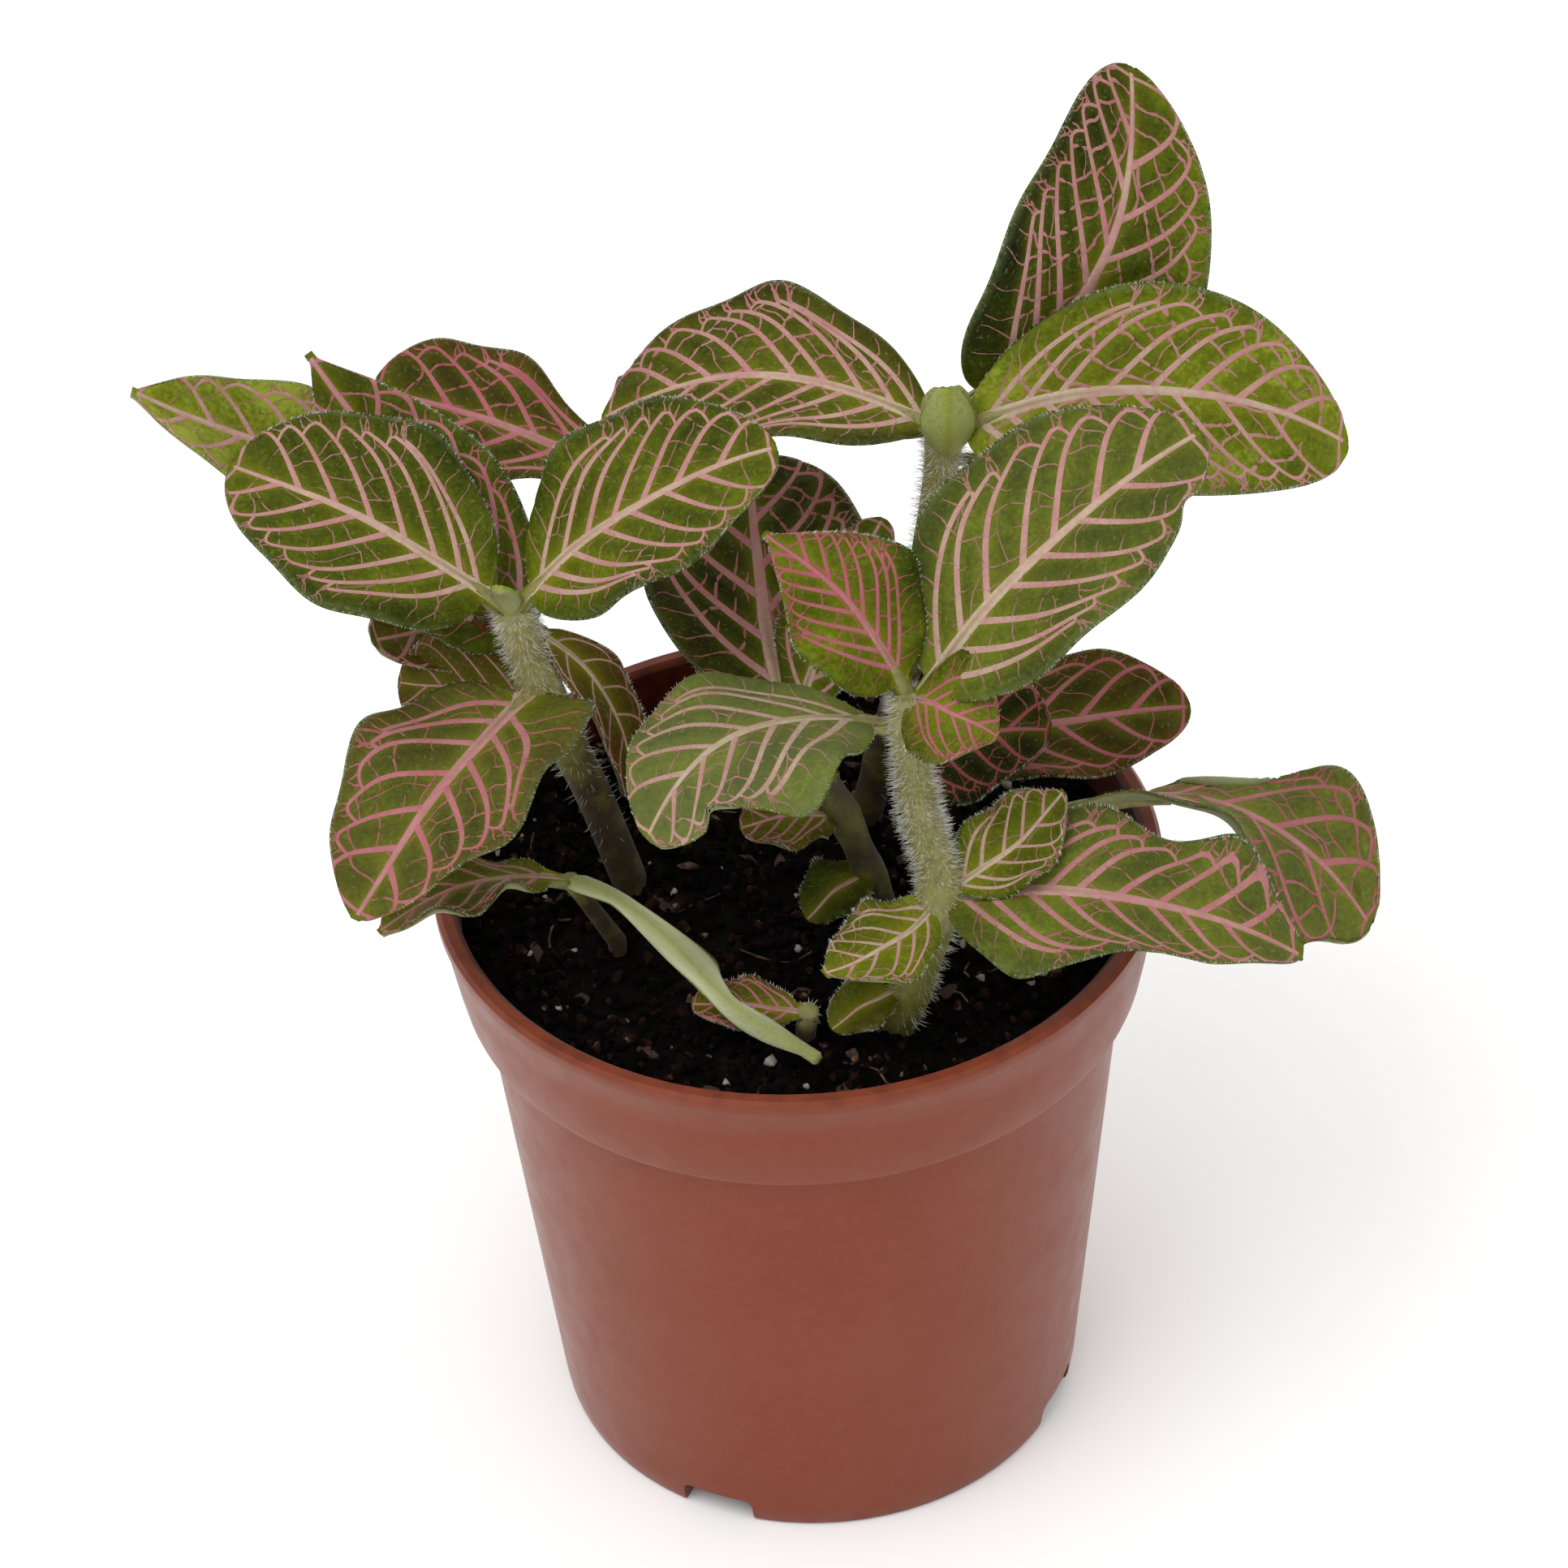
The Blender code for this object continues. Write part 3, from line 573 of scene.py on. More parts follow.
def add_node(tree, kind, inputs=None, out=0, ramp=None, **settings):
    """Adds a shader node, gives it its settings, fills or links its inputs and returns one of its outputs."""
    node = tree.nodes.new("ShaderNode" + kind)
    for key, value in settings.items():
        setattr(node, key, value)
    if ramp:
        while len(node.color_ramp.elements) < len(ramp):
            node.color_ramp.elements.new(0.5)
        for element, (share, colour) in zip(node.color_ramp.elements, ramp):
            element.position, element.color = share, colour
    for key, value in (inputs or {}).items():
        if isinstance(value, bpy.types.NodeSocket):
            tree.links.new(value, node.inputs[key])
        else:
            node.inputs[key].default_value = value
    return node.outputs[out] if len(node.outputs) else None


def new_material(name, *numbers):
    """A fresh node material, its tree, the place on the object and the numbers painted on the mesh."""
    material = bpy.data.materials.new(name)
    material.use_nodes = True
    tree = material.node_tree
    tree.nodes.clear()
    painted = [add_node(tree, "Attribute", attribute_name=number, out="Fac") for number in numbers]
    return material, tree, add_node(tree, "TexCoord", out="Object"), *painted


def leaf_material(settings):
    """Living leaf blade: soft matt green skin between sunken veins, paler and greyer at the margin."""
    made = new_material("leaf_blade_living_tissue", *BLADE_NUMBERS)
    material, tree, where, tone, halo, bronze, edge, under, pale = made
    # cloudy patches 6 mm across and flecks of half a millimetre, as between the veins of a real leaf
    for size, roughness, swing in ((6.0, 0.5, 0.16), (0.5, 0.7, 0.13)):
        cloud = add_node(tree, "TexNoise", {
            "Vector": where, "Scale": PER_MM / size, "Detail": 3, "Roughness": roughness})
        cloud = add_node(tree, "MapRange", {
            "Value": cloud, "From Min": 0.3, "From Max": 0.7, "To Min": -swing, "To Max": swing})
        tone = add_node(tree, "Math", {0: tone, 1: cloud}, operation="ADD")
    colour = add_node(tree, "ValToRGB", {"Fac": tone}, ramp=(
        (0.0, settings.cells_black), (0.3, settings.cells_dark), (0.55, settings.cells_green),
        (0.8, settings.cells_light), (1.0, settings.cells_pale)))
    rust = add_node(tree, "TexNoise", {"Vector": where, "Scale": PER_MM / 4.0})
    rust = add_node(tree, "MapRange", {"Value": rust, "From Min": 0.35, "From Max": 0.65, "To Min": 0.4})
    bronze = add_node(tree, "Math", {0: bronze, 1: rust}, operation="MULTIPLY")
    # the pale dots are the feet of fine hairs, about 0.1 mm across, drawn at 0.3 mm so that they show
    dots = add_node(tree, "TexNoise", {"Vector": where, "Scale": PER_MM / 0.3, "Detail": 1})
    dots = add_node(tree, "MapRange", {"Value": dots, "From Min": 0.62, "From Max": 0.76, "To Max": 0.35})
    # the edge share lays the margin's grey on the hairy margin, and through frost over whole blades, which is
    # partly painted sheen
    for share, tinted in ((bronze, settings.bronze), (halo, settings.halo), (dots, linear("#7d8450")),
                          (edge, settings.margin), (under, settings.underside), (pale, settings.young)):
        colour = add_node(tree, "Mix", {SHARE: share, BELOW: colour, ABOVE: tinted}, out=MIXED,
                          data_type="RGBA")
    skin = add_node(tree, "TexNoise", {
        "Vector": where, "Scale": PER_MM / 0.35, "Detail": 3, "Roughness": 0.7})
    skin = add_node(tree, "Bump", {"Height": skin, "Distance": 0.16 * MM, "Strength": 0.8})
    shader = add_node(tree, "BsdfPrincipled", {
        "Base Color": colour, "Roughness": 0.58, "IOR": 1.42, "Specular IOR Level": 0.10,
        "Subsurface Weight": 0.10, "Subsurface Radius": (0.5, 0.8, 0.15), "Subsurface Scale": 0.8 * MM,
        "Normal": skin})
    add_node(tree, "OutputMaterial", {"Surface": shader})
    return material


def vein_material(settings):
    """Living leaf vein: cream to rose-pink raised ribs, slightly glossier than the blade."""
    material, tree, where, rosy, faint, core = new_material("leaf_vein_living_tissue", *VEIN_NUMBERS)
    drift = add_node(tree, "TexNoise", {"Vector": where, "Scale": PER_MM / 3.0})
    drift = add_node(tree, "MapRange", {
        "Value": drift, "From Min": 0.3, "From Max": 0.7, "To Min": -0.10, "To Max": 0.10})
    rosy = add_node(tree, "Math", {0: rosy, 1: drift}, operation="ADD")
    colour = add_node(tree, "ValToRGB", {"Fac": rosy}, ramp=(
        (0.0, settings.vein_cream), (0.35, settings.vein_pale), (0.65, settings.vein_pink),
        (1.0, settings.vein_rose)))
    # green shows through the thin skin of a vein in mottles half a millimetre across
    mottle = add_node(tree, "TexNoise", {"Vector": where, "Scale": PER_MM / 0.5})
    mottle = add_node(tree, "MapRange", {"Value": mottle, "From Min": 0.35, "From Max": 0.7, "To Max": 0.22})
    for share, tinted in ((faint, settings.vein_faint), (core, linear("#84603c")),
                          (mottle, settings.vein_faint)):
        colour = add_node(tree, "Mix", {SHARE: share, BELOW: colour, ABOVE: tinted}, out=MIXED,
                          data_type="RGBA")
    skin = add_node(tree, "TexNoise", {"Vector": where, "Scale": PER_MM / 0.35})
    skin = add_node(tree, "Bump", {"Height": skin, "Distance": 0.05 * MM, "Strength": 0.5})
    shader = add_node(tree, "BsdfPrincipled", {
        "Base Color": colour, "Roughness": 0.48, "IOR": 1.42, "Specular IOR Level": 0.2, "Normal": skin})
    add_node(tree, "OutputMaterial", {"Surface": shader})
    return material


def stem_material(settings):
    """Living green stem: soft ridged skin, brown and woody near the soil, pale at the joints."""
    material, tree, where, ripe = new_material("stem_living_tissue", "ripe")
    cloud = add_node(tree, "TexNoise", {"Vector": where, "Scale": PER_MM / 2.5, "Detail": 3})
    cloud = add_node(tree, "MapRange", {
        "Value": cloud, "From Min": 0.3, "From Max": 0.7, "To Min": -0.2, "To Max": 0.2})
    ripe = add_node(tree, "Math", {0: ripe, 1: cloud}, operation="ADD")
    colour = add_node(tree, "ValToRGB", {"Fac": ripe}, ramp=(
        (0.0, settings.stem_brown), (0.45, settings.stem_green), (1.0, settings.stem_pale)))
    streak = add_node(tree, "TexNoise", {"Vector": where, "Scale": PER_MM / 0.6})
    streak = add_node(tree, "MapRange", {"Value": streak, "From Min": 0.45, "From Max": 0.75, "To Max": 0.4})
    colour = add_node(tree, "Mix", {SHARE: streak, BELOW: colour, ABOVE: settings.stem_brown}, out=MIXED,
                      data_type="RGBA")
    skin = add_node(tree, "TexNoise", {"Vector": where, "Scale": PER_MM / 0.5, "Detail": 3, "Roughness": 0.6})
    skin = add_node(tree, "Bump", {"Height": skin, "Distance": 0.12 * MM, "Strength": 0.7})
    shader = add_node(tree, "BsdfPrincipled", {
        "Base Color": colour, "Roughness": 0.55, "IOR": 1.42, "Sheen Weight": 0.1, "Normal": skin})
    add_node(tree, "OutputMaterial", {"Surface": shader})
    return material


def hair_material(settings):
    """Plant hair: thin colourless bristles that catch the light as a pale fuzz."""
    material, tree, where = new_material("plant_hair_translucent")
    tuft = add_node(tree, "TexNoise", {"Vector": where, "Scale": PER_MM / 1.5, "Detail": 1})
    tuft = add_node(tree, "MapRange", {"Value": tuft, "From Min": 0.3, "From Max": 0.7})
    colour = add_node(tree, "Mix", {SHARE: tuft, BELOW: settings.colour, ABOVE: linear("#d0cfbc")}, out=MIXED,
                      data_type="RGBA")
    scale = add_node(tree, "TexNoise", {"Vector": where, "Scale": PER_MM / 0.4, "Detail": 1})
    scale = add_node(tree, "Bump", {"Height": scale, "Distance": 0.01 * MM, "Strength": 0.3})
    shader = add_node(tree, "BsdfPrincipled", {
        "Base Color": colour, "Roughness": 0.4, "IOR": 1.45, "Alpha": 0.75, "Normal": scale})
    add_node(tree, "OutputMaterial", {"Surface": shader})
    return material


def pot_material(settings):
    """Moulded polypropylene: matt terracotta-coloured plastic with a faint grain, scuffs and dust, and a
    painted shade over its inside wall and floor.
    """
    material, tree, where, inside, dirt = new_material("polypropylene_moulded_terracotta", *POT_NUMBERS)
    # dust lies in clouds 14 mm across and in specks, and peat sticks in smears about 1.6 mm across
    masks = []
    for size, low, high, most in ((14.0, 0.35, 0.7, 0.16), (0.8, 0.42, 0.72, 0.14), (1.6, 0.45, 0.62, 1.0)):
        mask = add_node(tree, "TexNoise", {"Vector": where, "Scale": PER_MM / size, "Detail": 3})
        masks.append(add_node(tree, "MapRange", {
            "Value": mask, "From Min": low, "From Max": high, "To Max": most}))
    cloud, specks, smears = masks
    dirt = add_node(tree, "Math", {0: dirt, 1: smears}, operation="MULTIPLY")
    colour = settings.colour
    # inside lays a painted shade over the inner wall and floor: a darker colour that stands in for the shade
    # inside the pot
    for share, tinted in ((cloud, settings.dust), (specks, settings.dust), (inside, settings.inside),
                          (dirt, linear("#0b0605"))):
        colour = add_node(tree, "Mix", {SHARE: share, BELOW: colour, ABOVE: tinted}, out=MIXED,
                          data_type="RGBA")
    scuffs = add_node(tree, "TexNoise", {"Vector": where, "Scale": PER_MM / 3.0, "Detail": 3})
    scuffs = add_node(tree, "MapRange", {
        "Value": scuffs, "From Min": 0.3, "From Max": 0.7, "To Min": 0.34, "To Max": 0.46})
    # the moulded grain is about 0.1 mm, drawn at 0.5 mm so that it shows
    grain = add_node(tree, "TexNoise", {"Vector": where, "Scale": PER_MM / 0.5})
    grain = add_node(tree, "Bump", {"Height": grain, "Distance": 0.03 * MM, "Strength": 0.5})
    shader = add_node(tree, "BsdfPrincipled", {
        "Base Color": colour, "Roughness": scuffs, "IOR": 1.49, "Specular IOR Level": 0.2,
        "Sheen Weight": 0.12, "Sheen Roughness": 0.35, "Normal": grain})
    add_node(tree, "OutputMaterial", {"Surface": shader})
    return material


def soil_material(settings):
    """Damp peat: near-black crumbly fibre with warm brown lumps."""
    material, tree, where, lump = new_material("peat_damp_crumbled", "crumb")
    fibre = add_node(tree, "TexNoise", {
        "Vector": where, "Scale": PER_MM / 1.2, "Detail": 4, "Roughness": 0.65})
    fibre = add_node(tree, "MapRange", {
        "Value": fibre, "From Min": 0.3, "From Max": 0.7, "To Min": -0.25, "To Max": 0.25})
    lump = add_node(tree, "Math", {0: lump, 1: fibre}, operation="ADD")
    colour = add_node(tree, "ValToRGB", {"Fac": lump}, ramp=(
        (0.0, settings.peat_dark), (0.55, settings.peat), (0.85, settings.peat_warm),
        (1.0, linear("#7a6a58"))))
    rough = add_node(tree, "TexNoise", {
        "Vector": where, "Scale": PER_MM / 0.6, "Detail": 4, "Roughness": 0.7})
    rough = add_node(tree, "Bump", {"Height": rough, "Distance": 0.3 * MM, "Strength": 0.9})
    shader = add_node(tree, "BsdfPrincipled", {
        "Base Color": colour, "Roughness": 0.8, "IOR": 1.4, "Specular IOR Level": 0.08, "Normal": rough})
    add_node(tree, "OutputMaterial", {"Surface": shader})
    return material


def perlite_material(settings):
    """Expanded perlite: chalky grey-white volcanic grains, pitted and stained by the peat."""
    material, tree, where = new_material("perlite_expanded_grain")
    stain = add_node(tree, "TexNoise", {"Vector": where, "Scale": PER_MM / 0.7, "Detail": 3})
    stain = add_node(tree, "MapRange", {"Value": stain, "From Min": 0.4, "From Max": 0.7, "To Max": 0.55})
    colour = add_node(tree, "Mix", {SHARE: stain, BELOW: settings.perlite, ABOVE: linear("#6d6255")},
                      out=MIXED, data_type="RGBA")
    pits = add_node(tree, "TexNoise", {"Vector": where, "Scale": PER_MM / 0.4, "Detail": 3})
    pits = add_node(tree, "Bump", {"Height": pits, "Distance": 0.15 * MM, "Strength": 0.8})
    shader = add_node(tree, "BsdfPrincipled", {"Base Color": colour, "Roughness": 0.9, "Normal": pits})
    add_node(tree, "OutputMaterial", {"Surface": shader})
    return material


def bark_material(settings):
    """Composted bark and root threads: red-brown woody chips with a dry torn grain."""
    material, tree, where, chip = new_material("bark_composted_chip", "crumb")
    fibre = add_node(tree, "TexNoise", {"Vector": where, "Scale": PER_MM / 0.8, "Detail": 3})
    fibre = add_node(tree, "MapRange", {
        "Value": fibre, "From Min": 0.3, "From Max": 0.7, "To Min": -0.3, "To Max": 0.3})
    chip = add_node(tree, "Math", {0: chip, 1: fibre}, operation="ADD")
    colour = add_node(tree, "ValToRGB", {"Fac": chip}, ramp=(
        (0.0, linear("#2b140c")), (0.7, settings.bark), (1.0, settings.thread)))
    torn = add_node(tree, "TexNoise", {"Vector": where, "Scale": PER_MM / 0.5, "Detail": 3, "Roughness": 0.7})
    torn = add_node(tree, "Bump", {"Height": torn, "Distance": 0.15 * MM, "Strength": 0.8})
    shader = add_node(tree, "BsdfPrincipled", {"Base Color": colour, "Roughness": 0.85, "Normal": torn})
    add_node(tree, "OutputMaterial", {"Surface": shader})
    return material


def floor_material(settings):
    """Matt studio board: an even, faintly fibrous pale surface."""
    material, tree, where = new_material("studio_board_matt_white")
    fibre = add_node(tree, "TexNoise", {"Vector": where, "Scale": PER_MM / 8.0})
    fibre = add_node(tree, "MapRange", {"Value": fibre, "From Min": 0.3, "From Max": 0.7, "To Max": 0.05})
    colour = add_node(tree, "Mix", {SHARE: fibre, BELOW: settings.floor, ABOVE: linear("#f2f2f0")}, out=MIXED,
                      data_type="RGBA")
    shader = add_node(tree, "BsdfPrincipled", {
        "Base Color": colour, "Roughness": 0.9, "Specular IOR Level": 0.1})
    add_node(tree, "OutputMaterial", {"Surface": shader})
    return material


# ---- blades -------------------------------------------------------------------------------------

def blade_rows(one, share):
    """Share of the leaf's length for each share of the rows: close together at the stalk and the tip."""
    stalk, start = one["stalk"], -ROOT_SINK / leaf_frame(one)[1]
    inner = np.clip((share - STALK_ROWS) / (1 - STALK_ROWS), 0, 1)
    spread = ROW_EVEN * inner + (1 - ROW_EVEN) * (1 - np.cos(np.pi * inner)) / 2
    return np.where(share < STALK_ROWS, start + (stalk - start) * share / STALK_ROWS,
                    stalk + (1 - stalk) * spread)


def vein_tree(lines):
    """A search tree over closely spaced points of the given veins, and half the width at each point."""
    points, halves = [], []
    for path, start, end, _ in lines:
        gaps = np.linalg.norm(np.diff(path, axis=0), axis=1)
        run = np.concatenate(([0], np.cumsum(gaps)))
        steps = np.linspace(0, run[-1], max(2, int(run[-1] / 0.15)))
        points += list(zip(np.interp(steps, run, path[:, 0]), np.interp(steps, run, path[:, 1])))
        halves += list((start + (end - start) * steps / max(run[-1], 1e-6)) / 2)
    tree = KDTree(len(points))
    for number, (x, y) in enumerate(points):
        tree.insert((x, y, 0), number)
    tree.balance()
    return tree, halves


def clear_of(tree, x, y):
    """Distance from each flattened point to the edge of the nearest vein in the tree."""
    points, halves = tree
    found = (points.find((a, b, 0)) for a, b in zip(x.tolist(), y.tolist()))
    return np.array([max(distance - halves[number], 0.0) for _, number, distance in found])


def quilting(one, along, across, main, fine, settings):
    """How far the blade swells up, from its distances to the main and to the fine veins."""
    blade = smooth((along - one["stalk"]) * 12)
    size = min(1.0, math.sqrt(one["width"] / 16)) * (0.4 if one["width"] < SMALL_LEAF else 1.0)
    near_edge = smooth((np.abs(across) - 0.90) / 0.10)
    puff = settings.puff * smooth(main / 1.25) + settings.fine_puff * smooth(fine / 0.5) * smooth(main / 0.6)
    return puff * blade * size * (1 - 0.8 * near_edge) - 0.16 * near_edge * blade


def leaf_blade(bm, one, lines, settings):
    """Adds one quilted, closed leaf blade to bm: its face, then its back, joined along the margin."""
    length = leaf_frame(one)[1]
    step = settings.spacing if one["width"] >= LARGE_LEAF else settings.spacing * 1.15
    rows = int(min(max(length / step, 16), 130))
    columns = int(min(max(one["width"] / step, 8), 76))
    columns += columns % 2
    verts, u, v = grid_part(bm, rows, columns)
    lower = grid_part(bm, rows, columns)[0]
    along, across = blade_rows(one, u), v * 2 - 1
    x, y = along * length, across * half_width(one, along)
    main = clear_of(vein_tree([line for line in lines if line[3] < FINE]), x, y)
    net = [line for line in lines if line[3] >= FINE]
    fine = clear_of(vein_tree(net), x, y) if net else main
    puff = quilting(one, along, across, main, fine, settings)
    points, normals = leaf_points(one, along, across), leaf_normals(one, along, across)
    place(verts, points + normals * puff[:, None])

    middle, outward, blade = np.abs(y), np.abs(across), smooth((along - one["stalk"]) * 12)
    halo = 0.75 * np.exp(-middle / 0.9) * (1 - 0.6 * smooth((along - 0.2) / 0.6))
    halo += 0.15 * np.exp(-main / 0.35)
    # painted shade: slant darkens one side of the blade across its width
    tone = one["tone"] + one["slant"] * across + 0.14 * np.exp(-np.clip(blade_share(one, along), 0, 1) / 0.22)
    bronze = one["bronze"] * (0.6 + 0.9 * smooth((outward - 0.5) / 0.5))
    # edge greys the hairy margin, and frost greys the whole blade, partly as the grey of its hairs and partly
    # as painted sheen
    paint(bm, verts, halo=np.where(along < one["stalk"], 0.8, halo),
          tone=tone + 0.07 * (1 - smooth(main / 1.2)), bronze=np.minimum(bronze, 1),
          edge=one["frost"] + (0.65 - one["frost"]) * smooth((outward - 0.94) / 0.06) * blade)

    border = smooth((1 - outward) / 0.12) * smooth(u / 0.03) * smooth((1 - u) / 0.03)
    back_rib = np.exp(-(middle / 0.35) ** 2) * border
    thick = settings.thickness * border + 0.2 * back_rib
    place(lower, points + normals * (puff * (1 - 0.5 * border) - thick)[:, None])
    grey, pale = one["back"]
    paint(bm, lower, tone=one["tone"], bronze=one["bronze"], halo=0.5 * back_rib,
          under=border * grey * (1 - 0.45 * back_rib), pale=pale * border * (1 - back_rib))
    bmesh.ops.reverse_faces(bm, faces=list({f for vert in lower for f in vert.link_faces}))
    rim = [vert for vert in verts + lower if vert.is_boundary]
    bmesh.ops.remove_doubles(bm, verts=rim, dist=1e-7)


# ---- veins --------------------------------------------------------------------------------------

def vein_strip(bm, one, line, length, tree, settings):
    """Lays one vein on the leaf's face as a low ridge whose edges dip into the blade."""
    path, start, end, rank = line
    gaps = np.linalg.norm(np.diff(path, axis=0), axis=1)
    steps = int(min(max(gaps.sum() / (0.45 if rank < FINE else 0.5), 3), 80))
    verts, u, v = grid_part(bm, steps, 4 if rank == 0 else 2)
    run = np.concatenate(([0], np.cumsum(gaps))) / max(gaps.sum(), 1e-6)
    x, y = (np.interp(u, run, path[:, k]) for k in (0, 1))
    ahead, behind = np.minimum(u + 0.02, 1), np.maximum(u - 0.02, 0)
    tx, ty = (np.interp(ahead, run, path[:, k]) - np.interp(behind, run, path[:, k]) for k in (0, 1))
    norm = np.maximum(np.hypot(tx, ty), 1e-9)
    side = v * 2 - 1
    wide = (start + (end - start) * u) / 2
    x, y = x - ty / norm * wide * side, y + tx / norm * wide * side
    along = np.clip(x / length, -0.5 / length, 0.992)
    across = np.clip(y / half_width(one, along), -0.985, 0.985)
    lift = settings.rib_height * VEIN_LIFTS[rank]
    height = lift - (lift + 0.05) * side ** 2 * np.where(np.abs(side) > 0.9, 1, 0.35)
    if rank >= FINE:
        height += quilting(one, along, across, clear_of(tree, x, y), np.zeros_like(x), settings)
    place(verts, leaf_points(one, along, across) + leaf_normals(one, along, across) * height[:, None])

    reach = np.clip(blade_share(one, along), 0, 1)
    base_light = 0.32 * np.exp(-reach / 0.35) if rank < FINE else 0.0
    rosy = one["rosy"] + VEIN_BLUSH[rank] - base_light
    faint = (0.0, 0.08 * u, 0.50 - 0.42 * one["net"] + 0.12 * u, 0.6 - 0.3 * one["net"])[rank]
    core = 0.0
    if rank == 0:
        core = 0.75 * (np.abs(side) < 0.2) * (1 - smooth((reach - 0.05) / 0.5)) * smooth((along + 0.02) * 20)
    paint(bm, verts, rosy=rosy, faint=faint, core=core)


def leaf_veins(bm, one, lines, settings):
    """Adds all veins of one leaf to bm."""
    main = [line for line in lines if line[3] < FINE]
    tree = vein_tree(main)
    for line in (main if one["width"] < SMALL_LEAF else lines):
        vein_strip(bm, one, line, leaf_frame(one)[1], tree, settings)


# ---- stems --------------------------------------------------------------------------------------

def smooth_path(stem):
    """Points and radii along a smooth line through the stem's points, with its buried end first."""
    places, sizes = np.array(stem, float)[:, :3], [size for *_, size in stem]
    points, radii = [], []
    steps = 12
    for i in range(len(places) - 1):
        p0, p1, p2 = places[max(i - 1, 0)], places[i], places[i + 1]
        p3 = places[min(i + 2, len(places) - 1)]
        for k in range(steps):
            t = k / steps
            points.append(0.5 * ((2 * p1) + (p2 - p0) * t + (2 * p0 - 5 * p1 + 4 * p2 - p3) * t * t
                                 + (3 * p1 - p0 - 3 * p2 + p3) * t ** 3))
            radii.append(sizes[i] + (sizes[i + 1] - sizes[i]) * t)
    points.append(places[-1])
    radii.append(sizes[-1])
    down = np.array([points[0] - (0, 0, d) for d in (ROOT_DEPTH, ROOT_DEPTH / 2, 1.2)])
    return np.vstack((down, points)), np.array([radii[0] * 0.9] * 3 + radii)


def tube(bm, points, radii, sides, **values):
    """A closed round tube along the points, with a number under each name, or one for each point."""
    rings = len(points)
    verts, u, v = grid_part(bm, rings - 1, sides)
    index = np.rint(u * (rings - 1)).astype(int)
    run = np.gradient(points, axis=0)
    run /= np.linalg.norm(run, axis=1)[:, None]
    guide = np.array((0.0, 1.0, 0.0)) if abs(run[:, 1]).max() < 0.95 else np.array((1.0, 0.0, 0.0))
    out = np.cross(run, guide)
    out /= np.linalg.norm(out, axis=1)[:, None]
    over = np.cross(run, out)
    angle = v * math.tau
    spoke = out[index] * np.cos(angle)[:, None] + over[index] * np.sin(angle)[:, None]
    place(verts, points[index] + spoke * radii[index][:, None])
    paint(bm, verts, **{name: n[index] if np.ndim(n) else n for name, n in values.items()})
    bmesh.ops.remove_doubles(bm, verts=verts, dist=1e-6)
    verts = [vert for vert in verts if vert.is_valid]
    caps = bmesh.ops.holes_fill(bm, edges=[e for e in bm.edges if e.is_boundary], sides=sides)["faces"]
    wall = {f for vert in verts for f in vert.link_faces}
    bmesh.ops.recalc_face_normals(bm, faces=list(wall | set(caps)))


def leaf_foot(one):
    """The centre line and radii of the round stalk under a leaf."""
    share = np.linspace(0, 1, 9)
    along = np.linspace(-ROOT_SINK / leaf_frame(one)[1], one["stalk"] + 0.20, 9)
    zeros = np.zeros_like(along)
    points = leaf_points(one, along, zeros) - leaf_normals(one, along, zeros) * (0.25 + 0.30 * share)[:, None]
    return points, (0.82 - 0.50 * share) * min(1.0, one["width"] / 12) + 0.05


def stem_body(bm, own):
    """Adds one stem with swollen joints where leaves part from it, and the leaves' round stalks."""
    points, radii = smooth_path(own["stem"])
    swell = np.zeros(len(points))
    for one in own["leaves"]:
        swell = np.maximum(swell, np.exp(-(np.linalg.norm(points - one["base"], axis=1) / 1.8) ** 2))
    height = (points[:, 2] - SOIL_TOP) / max(points[:, 2].max() - SOIL_TOP, 1)
    ripe = 0.75 * smooth((height - own["green_from"] + 0.3) / 0.6) + 0.2 * swell
    closing = np.ones(len(points))
    closing[-1] = 0.6
    tube(bm, points, radii * (1 + 0.22 * swell) * closing, sides=18, ripe=ripe)
    for one in own["leaves"]:
        if one["width"] >= SMALL_LEAF:
            tube(bm, *leaf_foot(one), sides=10, ripe=0.85)


# ---- hairs --------------------------------------------------------------------------------------

def bristle(bm, root, direction, length, thick):
    """Adds one three-sided hair to bm."""
    turn = Vector((0, 0, 1)).rotation_difference(Vector(direction)).to_matrix().to_4x4()
    middle = (Vector(root) + Vector(direction) * length * 0.45) * MM
    bmesh.ops.create_cone(bm, cap_ends=True, segments=3, radius1=thick * MM / 2, radius2=thick * MM * 0.12,
                          depth=length * MM, matrix=Matrix.Translation(middle) @ turn)


def stem_hairs(bm, own, dice, settings):
    """Fine hairs that stand out all round a stem, thickest on its green part."""
    points, radii = (values[3:] for values in smooth_path(own["stem"]))
    span = np.linalg.norm(np.diff(points, axis=0), axis=1).sum()
    run = np.gradient(points, axis=0)
    crowding = 1 / (1 + 5 * own["green_from"])

    def one_hair(part):
        spot = (len(points) - 1.001) * dice.random() ** crowding
        low, share = int(spot), spot % 1
        core = points[low] * (1 - share) + points[low + 1] * share
        ahead = unit(run[low])
        angle = dice.uniform(0, math.tau)
        out = unit(np.cross(ahead, (0.0, 1.0, 0.1)))
        over = np.cross(ahead, out)
        way = unit(out * math.cos(angle) + over * math.sin(angle) + ahead * dice.uniform(-0.35, 0.35))
        length = dice.uniform(0.4, 1.0) * settings.length * min(own["woolly"], 1)
        bristle(part, core + way * radii[low] * 0.9, way, length, settings.thick)

    in_batches(bm, (), int(span * settings.stem_hairs * own["woolly"]), one_hair)


